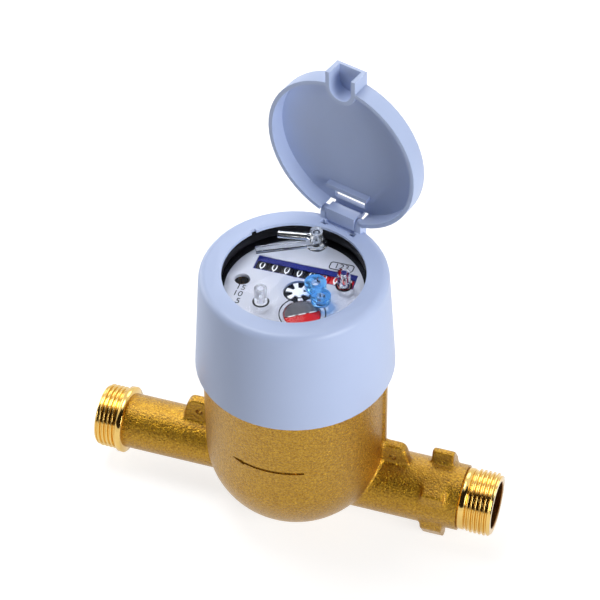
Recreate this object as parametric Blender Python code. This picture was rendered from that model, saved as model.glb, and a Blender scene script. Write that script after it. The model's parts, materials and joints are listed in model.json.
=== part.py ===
# Water meter: a cast brass body with a rotary piston chamber, a dry register and a plastic shroud with a lid.
# Metres, +Z up. X runs along the pipe, the inlet is at +X, and Z = 0 is the flat foot under the bowl.
import math

import bmesh
import bpy
from mathutils import Matrix, Vector

# Driving dimensions of the body
PIPE_LENGTH = 0.170
AXIS_Z = 0.019
BOWL_R = 0.0368
BOWL_RIM_Z = 0.090
BOWL_ROUND_TOP_Z = 0.0342
BOWL_ROUND_R = 0.0340
BOWL_BOTTOM_Z = 0.0072
FOOT_R = 0.0155
FOOT_HEIGHT = 0.0048
FOOT_EDGE = 0.0008
BOWL_FLOOR_Z = 0.030
BOWL_WALL = 0.0056
RIM_WALL = 0.0038
RIM_DEPTH = 0.015
PIPE_ROOT = 0.0148

# Pipe ends, for a G3/4 thread of 26.44 mm
THREAD_R = 0.0124
THREAD_CHAMFER = 0.0007
INLET_THREAD = 0.011
INLET_RING = 0.003
INLET_RING_R = 0.0127
INLET_PIPE_R = 0.0135
OUTLET_THREAD = 0.0094
OUTLET_COLLAR = 0.0026
OUTLET_COLLAR_R = 0.0140
OUTLET_PIPE_R = 0.0115
MOUTH_R = 0.00965
MOUTH_DEPTH = 0.015
WATERWAY_R = 0.0075
PORT_R = 0.006
PORT_INSET = 0.0112

# Wrench block on the inlet pipe
WRENCH_FROM_END = 0.029
WRENCH_WIDTH = 0.0092
WRENCH_FLATS = 0.0256
WRENCH_FLAT_HEIGHT = 0.0192
WRENCH_HEIGHT = 0.0364
WRENCH_FOOT = (0.0030, 0.0044, 0.0069, 0.0080)
WRENCH_SLOPE_END = 0.0045

# Sealing lugs, casting ridge and flow arrow
LUG_LENGTH = 0.0116
LUG_TOP = 0.0225
LUG_FOOT = 0.008
LUG_ROOT = 0.003
LUG_THICK = 0.0045
LUG_HOLE_R = 0.0015
LUG_HOLE_OUT = 0.0047
LUG_HOLE_Z = 0.0168
RIDGE_WIDTH = 0.002
RIDGE_PROUD = 0.0011
ARROW_Z = 0.050
ARROW_TIP = math.radians(-115.0)
ARROW_HEAD = math.radians(9.0)
ARROW_TAIL = math.radians(-67.0)
ARROW_HALF = 0.0008
ARROW_HEAD_HALF = 0.0022
ARROW_DEPTH = 0.0006

# Clearances
GAP = 0.0003
RUNNING = 0.00015
PAST = 0.001

# Axis of the chamber, the magnetic drive and the leak star
DRIVE_X = 0.0020
DRIVE_Y = -0.0012

# Measuring chamber
CHAMBER_SPACE = 0.0027
CHAMBER_WALL = 0.0045
CHAMBER_FLOOR = 0.0037
CHAMBER_RING_WALL = 0.0016
CHAMBER_PORT_R = 0.0042
CHAMBER_BOSS_R = 0.0019
CHAMBER_BOSS_HEIGHT = 0.006
COVER_THICK = 0.0032
COVER_LAND = 0.0038
PIN_SPACE = 0.0022
PISTON_ANGLE = math.radians(-90.0)
PISTON_WALL = 0.0024
PISTON_WEB = 0.002
PISTON_PIN_R = 0.0018
PISTON_RUN = 0.0001
PISTON_SLOT_HALF = 0.0048
PARTITION_THICK = 0.001
PARTITION_SEAT = 0.0013

# Drive magnet, pressure plate, seal and clamp ring
MAGNET_R = 0.011
MAGNET_GAP = 0.001
MAGNET_HEIGHT = 0.0095
MAGNET_POCKET = 0.004
STUB_R = 0.0016
STUB_LENGTH = 0.0057
SEAL_HEIGHT = 0.0014
PLATE_THICK = 0.004
PLATE_SKIRT_SPACE = 0.0044
PLATE_SKIRT_WALL = 0.0023
CLAMP_HEIGHT = 0.0057
CLAMP_WIDTH = 0.007
CLAMP_NOTCH = 0.004

# Register
CUP_SEAT = 0.0011
CUP_WALL = 0.0018
CUP_LEDGE_WALL = 0.0041
CUP_FLOOR = 0.0017
CUP_LEDGE = 0.0074
CUP_HEIGHT = 0.0256
WELL_R = 0.015
WELL_WALL = 0.0012
FOLLOWER_HEIGHT = 0.0064
SPINDLE_R = 0.001
GEAR_PLATE_THICK = 0.0015
PILLAR_R = 0.0015
PILLAR_INSET = 0.002
PILLAR_TURN = math.radians(60.0)
GEAR_HEIGHT = 0.0024
GEAR_LIFT = 0.0018
PINION_TEETH = 10
WHEEL_TEETH = 31
ADDENDUM = 0.6
DEDENDUM = 0.95
TOOTH_ROOT = 0.27
TOOTH_TIP = 0.12
COUNTER_X = 0.0014
COUNTER_Y = 0.0099
DRUMS = 8
DRUM_R = 0.0062
DRUM_DEPTH = 0.0072
CHEEK = 0.0012
FRAME_HALF = 0.005
FRAME_BASE = 0.0014
DIAL_THICK = 0.0016
DIAL_INSET = 0.0007
WINDOW_MARGIN = 0.00844
WINDOW_SLACK = 0.0006
WINDOW_HEIGHT = 0.0078
RECESS_DEPTH = 0.0011
STAR_RECESS_R = 0.0059
STAR_R = 0.0049
STAR_HUB_R = 0.0023
STAR_ARMS = 6
MARK_THICK = 0.0006
PULSE_X = 0.0073
PULSE_Y = -0.0123
PULSE_RECESS_R = 0.0074
PULSE_R = 0.0070
DIAL_HOLE_X = -0.0205
DIAL_HOLE_Y = -0.0012
DIAL_HOLE_R = 0.0031
GLASS_THICK = 0.0018
GLASS_INSET = 0.0001
POST_R = 0.0025
POST_BORE_R = 0.0013
POST_HEIGHT = 0.0070
POST_FROM_EDGE = 0.00925
WIPER_X = 0.0015
WIPER_FROM_EDGE = 0.00435
WIPER_HUB_R = 0.0026
WIPER_HUB_HEIGHT = 0.0072
WIPER_STUB_R = 0.0012
WIPER_CAP = 0.0012
BLADE_LENGTH = 0.0240
BLADE_ANGLE = math.radians(207.0)
BLADE_HALF = 0.0014
BLADE_THICK = 0.0015
ARM_LENGTH = 0.0152
ARM_ANGLE = math.radians(190.5)
ARM_HALF = 0.0013
ARM_LIFT = 0.0030
CLIP_FROM_POST = (0.0100, 0.0058)
CLIP_HOLE_R = 0.0020
CLIP_THICK = 0.0030
HOLDING_RING_LAND = 0.0004

# Shroud
SHROUD_OVERLAP = 0.012
SHROUD_RISE = 0.0063
SHROUD_FOOT_WALL = 0.0025
SHROUD_WALL = 0.0023
SHROUD_SPACE = 0.0004
SHROUD_EDGE_R = 0.003
SHROUD_RING = 0.0033
SHROUD_LIP = 0.0012
LIP_WIDTH = 0.0018
OPENING_LIP = 0.00625
OPENING_NOTCH_ANGLE = math.radians(142.0)
OPENING_NOTCH = 0.0011

# Hinge and lid, in a frame turned about Z with its X along the hinge pin
HINGE_TURN = math.radians(-16.4)
HINGE_INSET = 0.0028
HINGE_LIFT = 0.003
PIN_R = 0.0010
EAR_R = 0.0022
EAR_THICK = 0.0025
TONGUE_HALF = 0.0065
TONGUE_FRONT = 0.0032
TONGUE_BACK = 0.0026
TONGUE_THICK = 0.0048
EAR_HOLE_IN = 0.0052
EAR_HOLE_OUT = 0.0080
EAR_HOLE_AHEAD = 0.0049
EAR_HOLE_LENGTH = 0.0022
LID_OPEN = math.radians(-90.0)
LID_INSET = 0.0036
LID_OFFSET = 0.0013
LID_RIM = 0.0024
LID_DEPTH = 0.0089
LID_PLATE = 0.0020
LID_SKIRT = 0.0017
LID_ROUND = 0.0022
SLOT_HALF = 0.0070
SLOT_FRONT = 0.0099
SLOT_BACK = 0.0040
SHELF_HALF = 0.0093
SHELF_THICK = 0.0018
SHELF_REACH = 0.0028
TAB_REACH = 0.0046
TAB_HALF = 0.0066
NOTCH_HALF = 0.0048
NOTCH_DEPTH = 0.0064

# Strainer
STRAINER_LENGTH = 0.016
STRAINER_WALL = 0.0008
STRAINER_FLANGE = 0.0012
STRAINER_SLOTS = 8
STRAINER_SLOT_HALF = 0.0009

# Roundness of turned pieces
FINE = 56
MEDIUM = 36
COARSE = 24
SMALL = 16

# Body sizes that follow from the ones above
BOWL_BORE_R = BOWL_R - BOWL_WALL
RIM_BORE_R = BOWL_R - RIM_WALL
SEAL_LEDGE_Z = BOWL_RIM_Z - RIM_DEPTH
PIPE_START_X = BOWL_R - PIPE_ROOT
PORT_X = BOWL_BORE_R - PORT_INSET
WRENCH_X = PIPE_LENGTH / 2 - WRENCH_FROM_END
LUG_REACH = BOWL_R + LUG_LENGTH
LUG_HOLE_X = BOWL_R + LUG_HOLE_OUT

# Chamber and pressure plate: the piston touches the bore on one side and the ring on the other
CHAMBER_R = BOWL_BORE_R - CHAMBER_SPACE
CHAMBER_BORE_R = CHAMBER_R - CHAMBER_WALL
PISTON_LANDS = PISTON_PIN_R + PIN_SPACE + COVER_LAND + CHAMBER_RING_WALL + PISTON_WALL + 2 * PISTON_RUN
PISTON_ORBIT = (CHAMBER_BORE_R - PISTON_LANDS) / 3
COVER_HOLE_R = PISTON_ORBIT + PISTON_PIN_R + PIN_SPACE
CHAMBER_RING_R = COVER_HOLE_R + COVER_LAND + CHAMBER_RING_WALL
SEAL_Z = SEAL_LEDGE_Z + GAP
PLATE_Z = SEAL_Z + SEAL_HEIGHT + GAP
PLATE_TOP_Z = PLATE_Z + PLATE_THICK
MAGNET_TOP_Z = PLATE_Z - MAGNET_GAP
MAGNET_Z = MAGNET_TOP_Z - MAGNET_HEIGHT
COVER_TOP_Z = MAGNET_Z - MAGNET_GAP
COVER_Z = COVER_TOP_Z - COVER_THICK
CHAMBER_BOTTOM_Z = BOWL_FLOOR_Z + GAP
CHAMBER_FLOOR_Z = CHAMBER_BOTTOM_Z + CHAMBER_FLOOR
CHAMBER_TOP_Z = COVER_Z - GAP
CHAMBER_MIDDLE_Z = (CHAMBER_FLOOR_Z + CHAMBER_TOP_Z) / 2
PLATE_SKIRT_R = BOWL_BORE_R - PLATE_SKIRT_SPACE
CLAMP_Z = PLATE_TOP_Z + GAP
CLAMP_BORE_R = RIM_BORE_R - CLAMP_WIDTH

# Register on the bowl's rim
CUP_R = RIM_BORE_R + CUP_SEAT
CUP_Z = BOWL_RIM_Z + GAP
CUP_LEDGE_Z = CUP_Z + CUP_LEDGE
CUP_RIM_Z = CUP_Z + CUP_HEIGHT
WELL_Z = PLATE_TOP_Z + GAP
FOLLOWER_Z = WELL_Z + WELL_WALL + GAP
PLATE_R = CUP_R - CUP_WALL - 2 * GAP
PILLAR_AT = PLATE_R - PILLAR_INSET
GEAR_PLATE_Z = CUP_LEDGE_Z + GAP
GEAR_PLATE_TOP_Z = GEAR_PLATE_Z + GEAR_PLATE_THICK
GEAR_Z = GEAR_PLATE_TOP_Z + GEAR_LIFT
MODULE = 2 * math.hypot(PULSE_X - DRIVE_X, PULSE_Y - DRIVE_Y) / (PINION_TEETH + WHEEL_TEETH)
DIAL_TOP_Z = CUP_RIM_Z - DIAL_INSET
DIAL_Z = DIAL_TOP_Z - DIAL_THICK
RECESS_Z = DIAL_TOP_Z - RECESS_DEPTH
MARK_Z = RECESS_Z + GAP
WINDOW_WIDTH = 2 * (math.sqrt(PLATE_R ** 2 - (COUNTER_Y + WINDOW_HEIGHT / 2) ** 2) - WINDOW_MARGIN)
DRUM_PITCH = (WINDOW_WIDTH - WINDOW_SLACK) / DRUMS
DRUM_Z = DIAL_TOP_Z - DRUM_DEPTH
GLASS_R = CUP_R - GLASS_INSET
GLASS_Z = CUP_RIM_Z + GAP
GLASS_TOP_Z = GLASS_Z + GLASS_THICK
OPENING_R = CUP_R - OPENING_LIP
POST_X = OPENING_R - POST_FROM_EDGE
POSTS = ((-0.0090, -0.0132), (POST_X, 0.0046))
CLIP_LOOPS = ((POST_X - CLIP_FROM_POST[0], 0.0002, 0.0043), (POST_X - CLIP_FROM_POST[1], -0.0063, 0.0039))
WIPER_Y = OPENING_R - WIPER_FROM_EDGE
WIPER_Z = GLASS_TOP_Z + GAP
WIPER_HUB_TOP = WIPER_Z + WIPER_HUB_HEIGHT
HOLDING_RING_BORE_R = OPENING_R + HOLDING_RING_LAND

# Shroud over the register, with the hinge on its back edge
SHROUD_FOOT_Z = BOWL_RIM_Z - SHROUD_OVERLAP
SHROUD_FOOT_R = BOWL_R + GAP + SHROUD_FOOT_WALL
SHROUD_BORE_R = CUP_R + SHROUD_SPACE
SHROUD_TOP_R = SHROUD_BORE_R + SHROUD_WALL
SHROUD_TOP_Z = GLASS_TOP_Z + SHROUD_RISE
SHROUD_UNDER_Z = SHROUD_TOP_Z - SHROUD_RING
LIP_Z = SHROUD_TOP_Z - SHROUD_LIP
LIP_R = OPENING_R + LIP_WIDTH
HINGE_R = SHROUD_TOP_R - HINGE_INSET
HINGE_Z = SHROUD_TOP_Z + HINGE_LIFT
EAR_HOLE_FRONT = HINGE_R - EAR_HOLE_AHEAD
EAR_HOLE_BACK = EAR_HOLE_FRONT + EAR_HOLE_LENGTH
LID_R = SHROUD_TOP_R - LID_INSET
LID_CENTRE = HINGE_R - LID_OFFSET


def material(name, colour, roughness, metallic=0.0):
    found = bpy.data.materials.get(name)
    if found:
        return found
    made = bpy.data.materials.new(name)
    made.use_nodes = True
    shader = made.node_tree.nodes["Principled BSDF"]
    shader.inputs["Base Color"].default_value = (*colour, 1.0)
    shader.inputs["Roughness"].default_value = roughness
    shader.inputs["Metallic"].default_value = metallic
    made.diffuse_color = (*colour, 1.0)
    return made


def brass():
    return material("cast_brass", (0.42, 0.24, 0.06), 0.42, 1.0)


def machined_brass():
    return material("machined_brass", (0.62, 0.42, 0.14), 0.25, 1.0)


def shroud_plastic():
    return material("shroud_plastic", (0.40, 0.52, 0.74), 0.45)


def white_plastic():
    return material("white_plastic", (0.68, 0.69, 0.70), 0.5)


def black_plastic():
    return material("black_plastic", (0.015, 0.015, 0.018), 0.45)


def red_plastic():
    return material("red_plastic", (0.55, 0.02, 0.02), 0.45)


def grey_plastic():
    return material("grey_plastic", (0.30, 0.31, 0.33), 0.5)


def clear_plastic():
    return material("clear_plastic", (0.80, 0.83, 0.85), 0.08)


def blue_plastic():
    return material("blue_plastic", (0.03, 0.25, 0.72), 0.15)


def steel():
    return material("steel", (0.60, 0.60, 0.60), 0.3, 1.0)


def rubber():
    return material("seal_rubber", (0.02, 0.02, 0.02), 0.8)


def arc(centre_r, centre_z, radius, start, end, steps):
    points = []
    for i in range(steps + 1):
        angle = math.radians(start + (end - start) * i / steps)
        points.append((centre_r + radius * math.cos(angle), centre_z + radius * math.sin(angle)))
    return points


def turned(bm, profile, steps, centre=(0.0, 0.0)):
    """Spin a profile of (radius, height) round Z. Ends on the axis leave it open, any other profile is closed."""
    on_axis = profile[0][0] == 0.0 and profile[-1][0] == 0.0
    made = [bm.verts.new((r, 0.0, z)) for r, z in profile]
    edges = [bm.edges.new(pair) for pair in zip(made, made[1:])]
    if not on_axis:
        edges.append(bm.edges.new((made[-1], made[0])))
    before = set(bm.verts) - set(made)
    bmesh.ops.spin(bm, geom=made + edges, cent=(0, 0, 0), axis=(0, 0, 1), angle=2 * math.pi, steps=steps, use_merge=True)
    fresh = [v for v in bm.verts if v not in before]
    bmesh.ops.remove_doubles(bm, verts=fresh, dist=0.000001)
    fresh = [v for v in bm.verts if v not in before]
    bmesh.ops.translate(bm, verts=fresh, vec=(centre[0], centre[1], 0.0))
    return fresh


def cylinder(bm, x, y, radius, low, high, steps=SMALL):
    return turned(bm, [(0.0, low), (radius, low), (radius, high), (0.0, high)], steps, (x, y))


def tube(bm, x, y, inner, outer, low, high, steps=COARSE):
    return turned(bm, [(inner, low), (outer, low), (outer, high), (inner, high)], steps, (x, y))


def prism(bm, outline, low, high):
    made = [bm.verts.new((x, y, low)) for x, y in outline]
    face = bm.faces.new(made)
    grown = bmesh.ops.extrude_face_region(bm, geom=[face])
    top = [g for g in grown["geom"] if isinstance(g, bmesh.types.BMVert)]
    bmesh.ops.translate(bm, verts=top, vec=(0, 0, high - low))
    return made + top


def box(bm, x, y, z):
    return prism(bm, [(x[0], y[0]), (x[1], y[0]), (x[1], y[1]), (x[0], y[1])], z[0], z[1])


def bar(bm, start, angle, length, half, low, high):
    outline = [(0, -half), (length, -half), (length, half), (0, half)]
    turn = Matrix.Rotation(angle, 2)
    placed = [turn @ Vector(p) for p in outline]
    return prism(bm, [(start[0] + p.x, start[1] + p.y) for p in placed], low, high)


def lay_along_x(bm, verts, height=0.0):
    """Turn pieces drawn round Z so that their axis runs along X at the given height."""
    bmesh.ops.rotate(bm, verts=verts, cent=(0, 0, 0), matrix=Matrix.Rotation(math.radians(90), 3, "Y"))
    bmesh.ops.translate(bm, verts=verts, vec=(0, 0, height))


def lay_along_y(bm, verts):
    """Turn pieces drawn in X and Y so that their Y points up and their Z points to -Y."""
    bmesh.ops.rotate(bm, verts=verts, cent=(0, 0, 0), matrix=Matrix.Rotation(math.radians(90), 3, "X"))


def finish(name, bm, finish_material, location=(0, 0, 0), parent=None):
    bmesh.ops.recalc_face_normals(bm, faces=bm.faces)
    mesh = bpy.data.meshes.new(name)
    bm.to_mesh(mesh)
    bm.free()
    mesh.shade_smooth()
    mesh.set_sharp_from_angle(angle=math.radians(35))
    made = bpy.data.objects.new(name, mesh)
    if finish_material:
        mesh.materials.append(finish_material)
    bpy.context.scene.collection.objects.link(made)
    made.location = location
    made.parent = parent
    return made


def guide(name, bm, location=(0, 0, 0), parent=None):
    made = finish(name, bm, None, location, parent)
    made.hide_render = True
    made.display_type = "WIRE"
    return made


def boolean(target, tool, operation):
    step = target.modifiers.new(tool.name, "BOOLEAN")
    step.operation = operation
    step.object = tool


def cut(target, tool):
    boolean(target, tool, "DIFFERENCE")


def join(target, tool):
    boolean(target, tool, "UNION")


def gear_outline(teeth, module, phase):
    pitch = 2 * math.pi / teeth
    root = (teeth / 2 - DEDENDUM) * module
    tip = (teeth / 2 + ADDENDUM) * module
    outline = []
    for i in range(teeth):
        middle = phase + i * pitch
        for radius, turn in ((root, -TOOTH_ROOT), (tip, -TOOTH_TIP), (tip, TOOTH_TIP), (root, TOOTH_ROOT)):
            angle = middle + turn * pitch
            outline.append((radius * math.cos(angle), radius * math.sin(angle)))
    return outline


# Brass body

def bowl_outside():
    centre_r = BOWL_R - BOWL_ROUND_R
    end = -math.degrees(math.asin((BOWL_ROUND_TOP_Z - BOWL_BOTTOM_Z) / BOWL_ROUND_R))
    round_part = arc(centre_r, BOWL_ROUND_TOP_Z, BOWL_ROUND_R, end, 0.0, 8)
    underside = (FOOT_R + FOOT_EDGE, FOOT_HEIGHT)
    foot = [(0.0, 0.0), (FOOT_R - FOOT_EDGE, 0.0), (FOOT_R, FOOT_EDGE), underside]
    return foot + round_part + [(BOWL_R, BOWL_RIM_Z), (0.0, BOWL_RIM_Z)]


def bowl_cavity():
    bm = bmesh.new()
    high = BOWL_RIM_Z + PAST
    stepped = [(BOWL_BORE_R, BOWL_FLOOR_Z), (BOWL_BORE_R, SEAL_LEDGE_Z), (RIM_BORE_R, SEAL_LEDGE_Z), (RIM_BORE_R, high)]
    turned(bm, [(0.0, BOWL_FLOOR_Z)] + stepped + [(0.0, high)], FINE)
    return guide("bowl_cavity", bm)


def inlet_pipe():
    bm = bmesh.new()
    end = PIPE_LENGTH / 2
    ring = end - INLET_THREAD
    outline = [(INLET_PIPE_R, PIPE_START_X), (INLET_PIPE_R, ring - INLET_RING), (INLET_RING_R, ring - INLET_RING)]
    outline += [(INLET_RING_R, ring), (THREAD_R, ring), (THREAD_R, end - THREAD_CHAMFER)]
    outline += [(THREAD_R - THREAD_CHAMFER, end)]
    verts = turned(bm, [(0.0, PIPE_START_X)] + outline + [(0.0, end)], MEDIUM)
    lay_along_x(bm, verts, AXIS_Z)
    return guide("inlet_pipe", bm)


def outlet_pipe():
    bm = bmesh.new()
    end = -PIPE_LENGTH / 2
    collar = end + OUTLET_THREAD
    outline = [(THREAD_R - THREAD_CHAMFER, end), (THREAD_R, end + THREAD_CHAMFER), (THREAD_R, collar)]
    outline += [(OUTLET_COLLAR_R, collar), (OUTLET_COLLAR_R, collar + OUTLET_COLLAR)]
    outline += [(OUTLET_PIPE_R, collar + OUTLET_COLLAR), (OUTLET_PIPE_R, -PIPE_START_X)]
    verts = turned(bm, [(0.0, end)] + outline + [(0.0, -PIPE_START_X)], MEDIUM)
    lay_along_x(bm, verts, AXIS_Z)
    return guide("outlet_pipe", bm)


def wrench_block():
    """Flats at the front and the back, with a foot that stands up at the back and one that hangs at the front."""
    bm = bmesh.new()
    side = WRENCH_FLATS / 2
    top = WRENCH_HEIGHT / 2
    low = WRENCH_FLAT_HEIGHT / 2
    root, inner, outer, edge = WRENCH_FOOT
    above = [(side, -low), (side, low), (edge, top - 0.0012), (outer, top), (inner, top)]
    above += [(root, INLET_PIPE_R - 0.0009), (-WRENCH_SLOPE_END, INLET_PIPE_R - 0.0008)]
    outline = above + [(-y, -z) for y, z in above]
    verts = prism(bm, [(-z, y) for y, z in outline], WRENCH_X, WRENCH_X + WRENCH_WIDTH)
    lay_along_x(bm, verts, AXIS_Z)
    return guide("wrench_block", bm)


def sealing_lugs():
    bm = bmesh.new()
    low = AXIS_Z + LUG_FOOT
    high = AXIS_Z + LUG_TOP
    inside = BOWL_R - LUG_ROOT
    for side in (1, -1):
        outline = [(inside, low), (LUG_REACH - 0.0004, low), (LUG_REACH, high - 0.004)]
        outline += [(LUG_REACH - 0.0013, high - 0.0013), (LUG_REACH - 0.004, high), (inside, high)]
        verts = prism(bm, [(side * x, z) for x, z in outline], -LUG_THICK / 2, LUG_THICK / 2)
        lay_along_y(bm, verts)
    return guide("sealing_lugs", bm)


def casting_ridges():
    bm = bmesh.new()
    low = AXIS_Z + LUG_TOP - 0.002
    high = SHROUD_FOOT_Z - GAP
    for side in (1, -1):
        reach = sorted((side * (BOWL_R - 0.002), side * (BOWL_R + RIDGE_PROUD)))
        box(bm, reach, (-RIDGE_WIDTH / 2, RIDGE_WIDTH / 2), (low, high))
    return guide("casting_ridges", bm)


def waterways():
    bm = bmesh.new()
    end = PIPE_LENGTH / 2
    inner = PORT_X - PORT_R
    for side in (1, -1):
        outline = [(0.0, inner), (WATERWAY_R, inner), (WATERWAY_R, end - MOUTH_DEPTH)]
        outline += [(MOUTH_R, end - MOUTH_DEPTH), (MOUTH_R, end + PAST), (0.0, end + PAST)]
        verts = turned(bm, [(r, side * x) for r, x in outline], COARSE)
        lay_along_x(bm, verts, AXIS_Z)
    return guide("waterways", bm)


def bowl_ports():
    bm = bmesh.new()
    for side in (1, -1):
        cylinder(bm, side * PORT_X, 0.0, PORT_R, AXIS_Z, BOWL_FLOOR_Z + PAST, SMALL)
    return guide("bowl_ports", bm)


def lug_holes():
    bm = bmesh.new()
    for side in (1, -1):
        reach = LUG_THICK / 2 + PAST
        verts = cylinder(bm, side * LUG_HOLE_X, AXIS_Z + LUG_HOLE_Z, LUG_HOLE_R, -reach, reach, SMALL)
        lay_along_y(bm, verts)
    return guide("lug_holes", bm)


def flow_arrow():
    """A groove bent round the bowl. Its half height goes from the tip to the head's base and along the shaft."""
    bm = bmesh.new()
    base = ARROW_TIP + ARROW_HEAD
    shaft_steps = 8
    stations = [(ARROW_TIP, ARROW_HALF / 8), (base, ARROW_HEAD_HALF), (base + 0.004, ARROW_HALF)]
    for i in range(1, shaft_steps + 1):
        stations.append((base + (ARROW_TAIL - base) * i / shaft_steps, ARROW_HALF))
    rings = []
    for angle, half in stations:
        corners = ((BOWL_R - ARROW_DEPTH, -half), (BOWL_R + PAST, -half), (BOWL_R + PAST, half), (BOWL_R - ARROW_DEPTH, half))
        rings.append([bm.verts.new((r * math.cos(angle), r * math.sin(angle), ARROW_Z + z)) for r, z in corners])
    for one, two in zip(rings, rings[1:]):
        for i in range(4):
            j = (i + 1) % 4
            bm.faces.new((one[i], one[j], two[j], two[i]))
    bm.faces.new(rings[0][::-1])
    bm.faces.new(rings[-1])
    bmesh.ops.triangulate(bm, faces=bm.faces)
    return guide("flow_arrow", bm)


def body_casting():
    bm = bmesh.new()
    turned(bm, bowl_outside(), FINE)
    body = finish("body_casting", bm, brass())
    join(body, inlet_pipe())
    join(body, outlet_pipe())
    join(body, wrench_block())
    join(body, sealing_lugs())
    join(body, casting_ridges())
    cut(body, bowl_cavity())
    cut(body, waterways())
    cut(body, bowl_ports())
    cut(body, lug_holes())
    cut(body, flow_arrow())


def inlet_strainer():
    bm = bmesh.new()
    seat = PIPE_LENGTH / 2 - MOUTH_DEPTH + GAP
    cup_r = WATERWAY_R - GAP
    closed = seat + STRAINER_FLANGE - STRAINER_LENGTH
    outline = [(0.0, closed), (cup_r, closed), (cup_r, seat), (MOUTH_R - GAP, seat), (MOUTH_R - GAP, seat + STRAINER_FLANGE)]
    outline += [(cup_r - STRAINER_WALL, seat + STRAINER_FLANGE), (cup_r - STRAINER_WALL, closed + STRAINER_WALL)]
    verts = turned(bm, outline + [(0.0, closed + STRAINER_WALL)], COARSE)
    lay_along_x(bm, verts, AXIS_Z)
    strainer = finish("inlet_strainer", bm, grey_plastic())
    slots = bmesh.new()
    for i in range(STRAINER_SLOTS):
        verts = box(slots, (cup_r / 2, cup_r + PAST), (-STRAINER_SLOT_HALF, STRAINER_SLOT_HALF), (closed + 0.003, seat - 0.003))
        angle = 2 * math.pi * (i + 0.5) / STRAINER_SLOTS
        bmesh.ops.rotate(slots, verts=verts, cent=(0, 0, 0), matrix=Matrix.Rotation(angle, 3, "Z"))
    lay_along_x(slots, slots.verts, AXIS_Z)
    cut(strainer, guide("strainer_slots", slots))


# Measuring chamber

def partition_slot(name, low, high):
    bm = bmesh.new()
    half = PARTITION_THICK / 2 + GAP
    inner = CHAMBER_RING_R - PARTITION_SEAT
    box(bm, (-half, half), (inner, CHAMBER_BORE_R + PARTITION_SEAT + GAP), (low, high))
    return guide(name, bm, (DRIVE_X, DRIVE_Y, 0))


def chamber_base():
    bm = bmesh.new()
    ring_in = CHAMBER_RING_R - CHAMBER_RING_WALL
    ring_top = CHAMBER_MIDDLE_Z - PISTON_WEB / 2 - GAP
    boss_top = CHAMBER_FLOOR_Z + CHAMBER_BOSS_HEIGHT
    outline = [(0.0, CHAMBER_BOTTOM_Z), (CHAMBER_R, CHAMBER_BOTTOM_Z), (CHAMBER_R, CHAMBER_TOP_Z)]
    outline += [(CHAMBER_BORE_R, CHAMBER_TOP_Z), (CHAMBER_BORE_R, CHAMBER_FLOOR_Z)]
    outline += [(CHAMBER_RING_R, CHAMBER_FLOOR_Z), (CHAMBER_RING_R, ring_top), (ring_in, ring_top)]
    outline += [(ring_in, CHAMBER_FLOOR_Z), (CHAMBER_BOSS_R, CHAMBER_FLOOR_Z), (CHAMBER_BOSS_R, boss_top), (0.0, boss_top)]
    turned(bm, outline, COARSE)
    base = finish("chamber_base", bm, white_plastic(), (DRIVE_X, DRIVE_Y, 0))
    ports = bmesh.new()
    reach = (CHAMBER_RING_R + CHAMBER_BORE_R) / 2
    for side in (1, -1):
        cylinder(ports, side * reach, 0.0, CHAMBER_PORT_R, CHAMBER_BOTTOM_Z - PAST, CHAMBER_FLOOR_Z + PAST)
    cut(base, guide("chamber_ports", ports, (DRIVE_X, DRIVE_Y, 0)))
    cut(base, partition_slot("base_slot", CHAMBER_FLOOR_Z, CHAMBER_TOP_Z + PAST))


def partition_plate():
    bm = bmesh.new()
    half = PARTITION_THICK / 2
    inner = CHAMBER_RING_R - PARTITION_SEAT + GAP
    box(bm, (-half, half), (inner, CHAMBER_BORE_R + PARTITION_SEAT), (CHAMBER_FLOOR_Z + GAP, CHAMBER_TOP_Z - GAP))
    finish("partition_plate", bm, steel(), (DRIVE_X, DRIVE_Y, 0))


def rotary_piston():
    bm = bmesh.new()
    outer = CHAMBER_BORE_R - PISTON_ORBIT - PISTON_RUN
    inner = outer - PISTON_WALL
    low = CHAMBER_FLOOR_Z + GAP
    high = CHAMBER_TOP_Z - GAP
    web_low = CHAMBER_MIDDLE_Z - PISTON_WEB / 2
    web_high = CHAMBER_MIDDLE_Z + PISTON_WEB / 2
    pin_high = MAGNET_Z + MAGNET_POCKET - 0.0005
    outline = [(0.0, low), (PISTON_PIN_R, low), (PISTON_PIN_R, web_low), (inner, web_low), (inner, low), (outer, low)]
    outline += [(outer, high), (inner, high), (inner, web_high), (PISTON_PIN_R, web_high), (PISTON_PIN_R, pin_high)]
    turned(bm, outline + [(0.0, pin_high)], COARSE)
    x = DRIVE_X + PISTON_ORBIT * math.cos(PISTON_ANGLE)
    y = DRIVE_Y + PISTON_ORBIT * math.sin(PISTON_ANGLE)
    piston = finish("rotary_piston", bm, grey_plastic(), (x, y, 0))
    slot = bmesh.new()
    start = CHAMBER_RING_R - PARTITION_SEAT - PISTON_ORBIT - GAP
    box(slot, (-PISTON_SLOT_HALF, PISTON_SLOT_HALF), (start, outer + PAST), (low - PAST, high + PAST))
    cut(piston, guide("piston_slot", slot, (x, y, 0)))


def chamber_cover():
    bm = bmesh.new()
    ring_in = CHAMBER_RING_R - CHAMBER_RING_WALL
    ring_low = CHAMBER_MIDDLE_Z + PISTON_WEB / 2 + GAP
    outline = [(COVER_HOLE_R, COVER_Z), (ring_in, COVER_Z), (ring_in, ring_low), (CHAMBER_RING_R, ring_low)]
    outline += [(CHAMBER_RING_R, COVER_Z), (CHAMBER_R, COVER_Z), (CHAMBER_R, COVER_TOP_Z), (COVER_HOLE_R, COVER_TOP_Z)]
    turned(bm, outline, COARSE)
    cover = finish("chamber_cover", bm, white_plastic(), (DRIVE_X, DRIVE_Y, 0))
    cut(cover, partition_slot("cover_slot", ring_low - PAST, COVER_Z))


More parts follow.
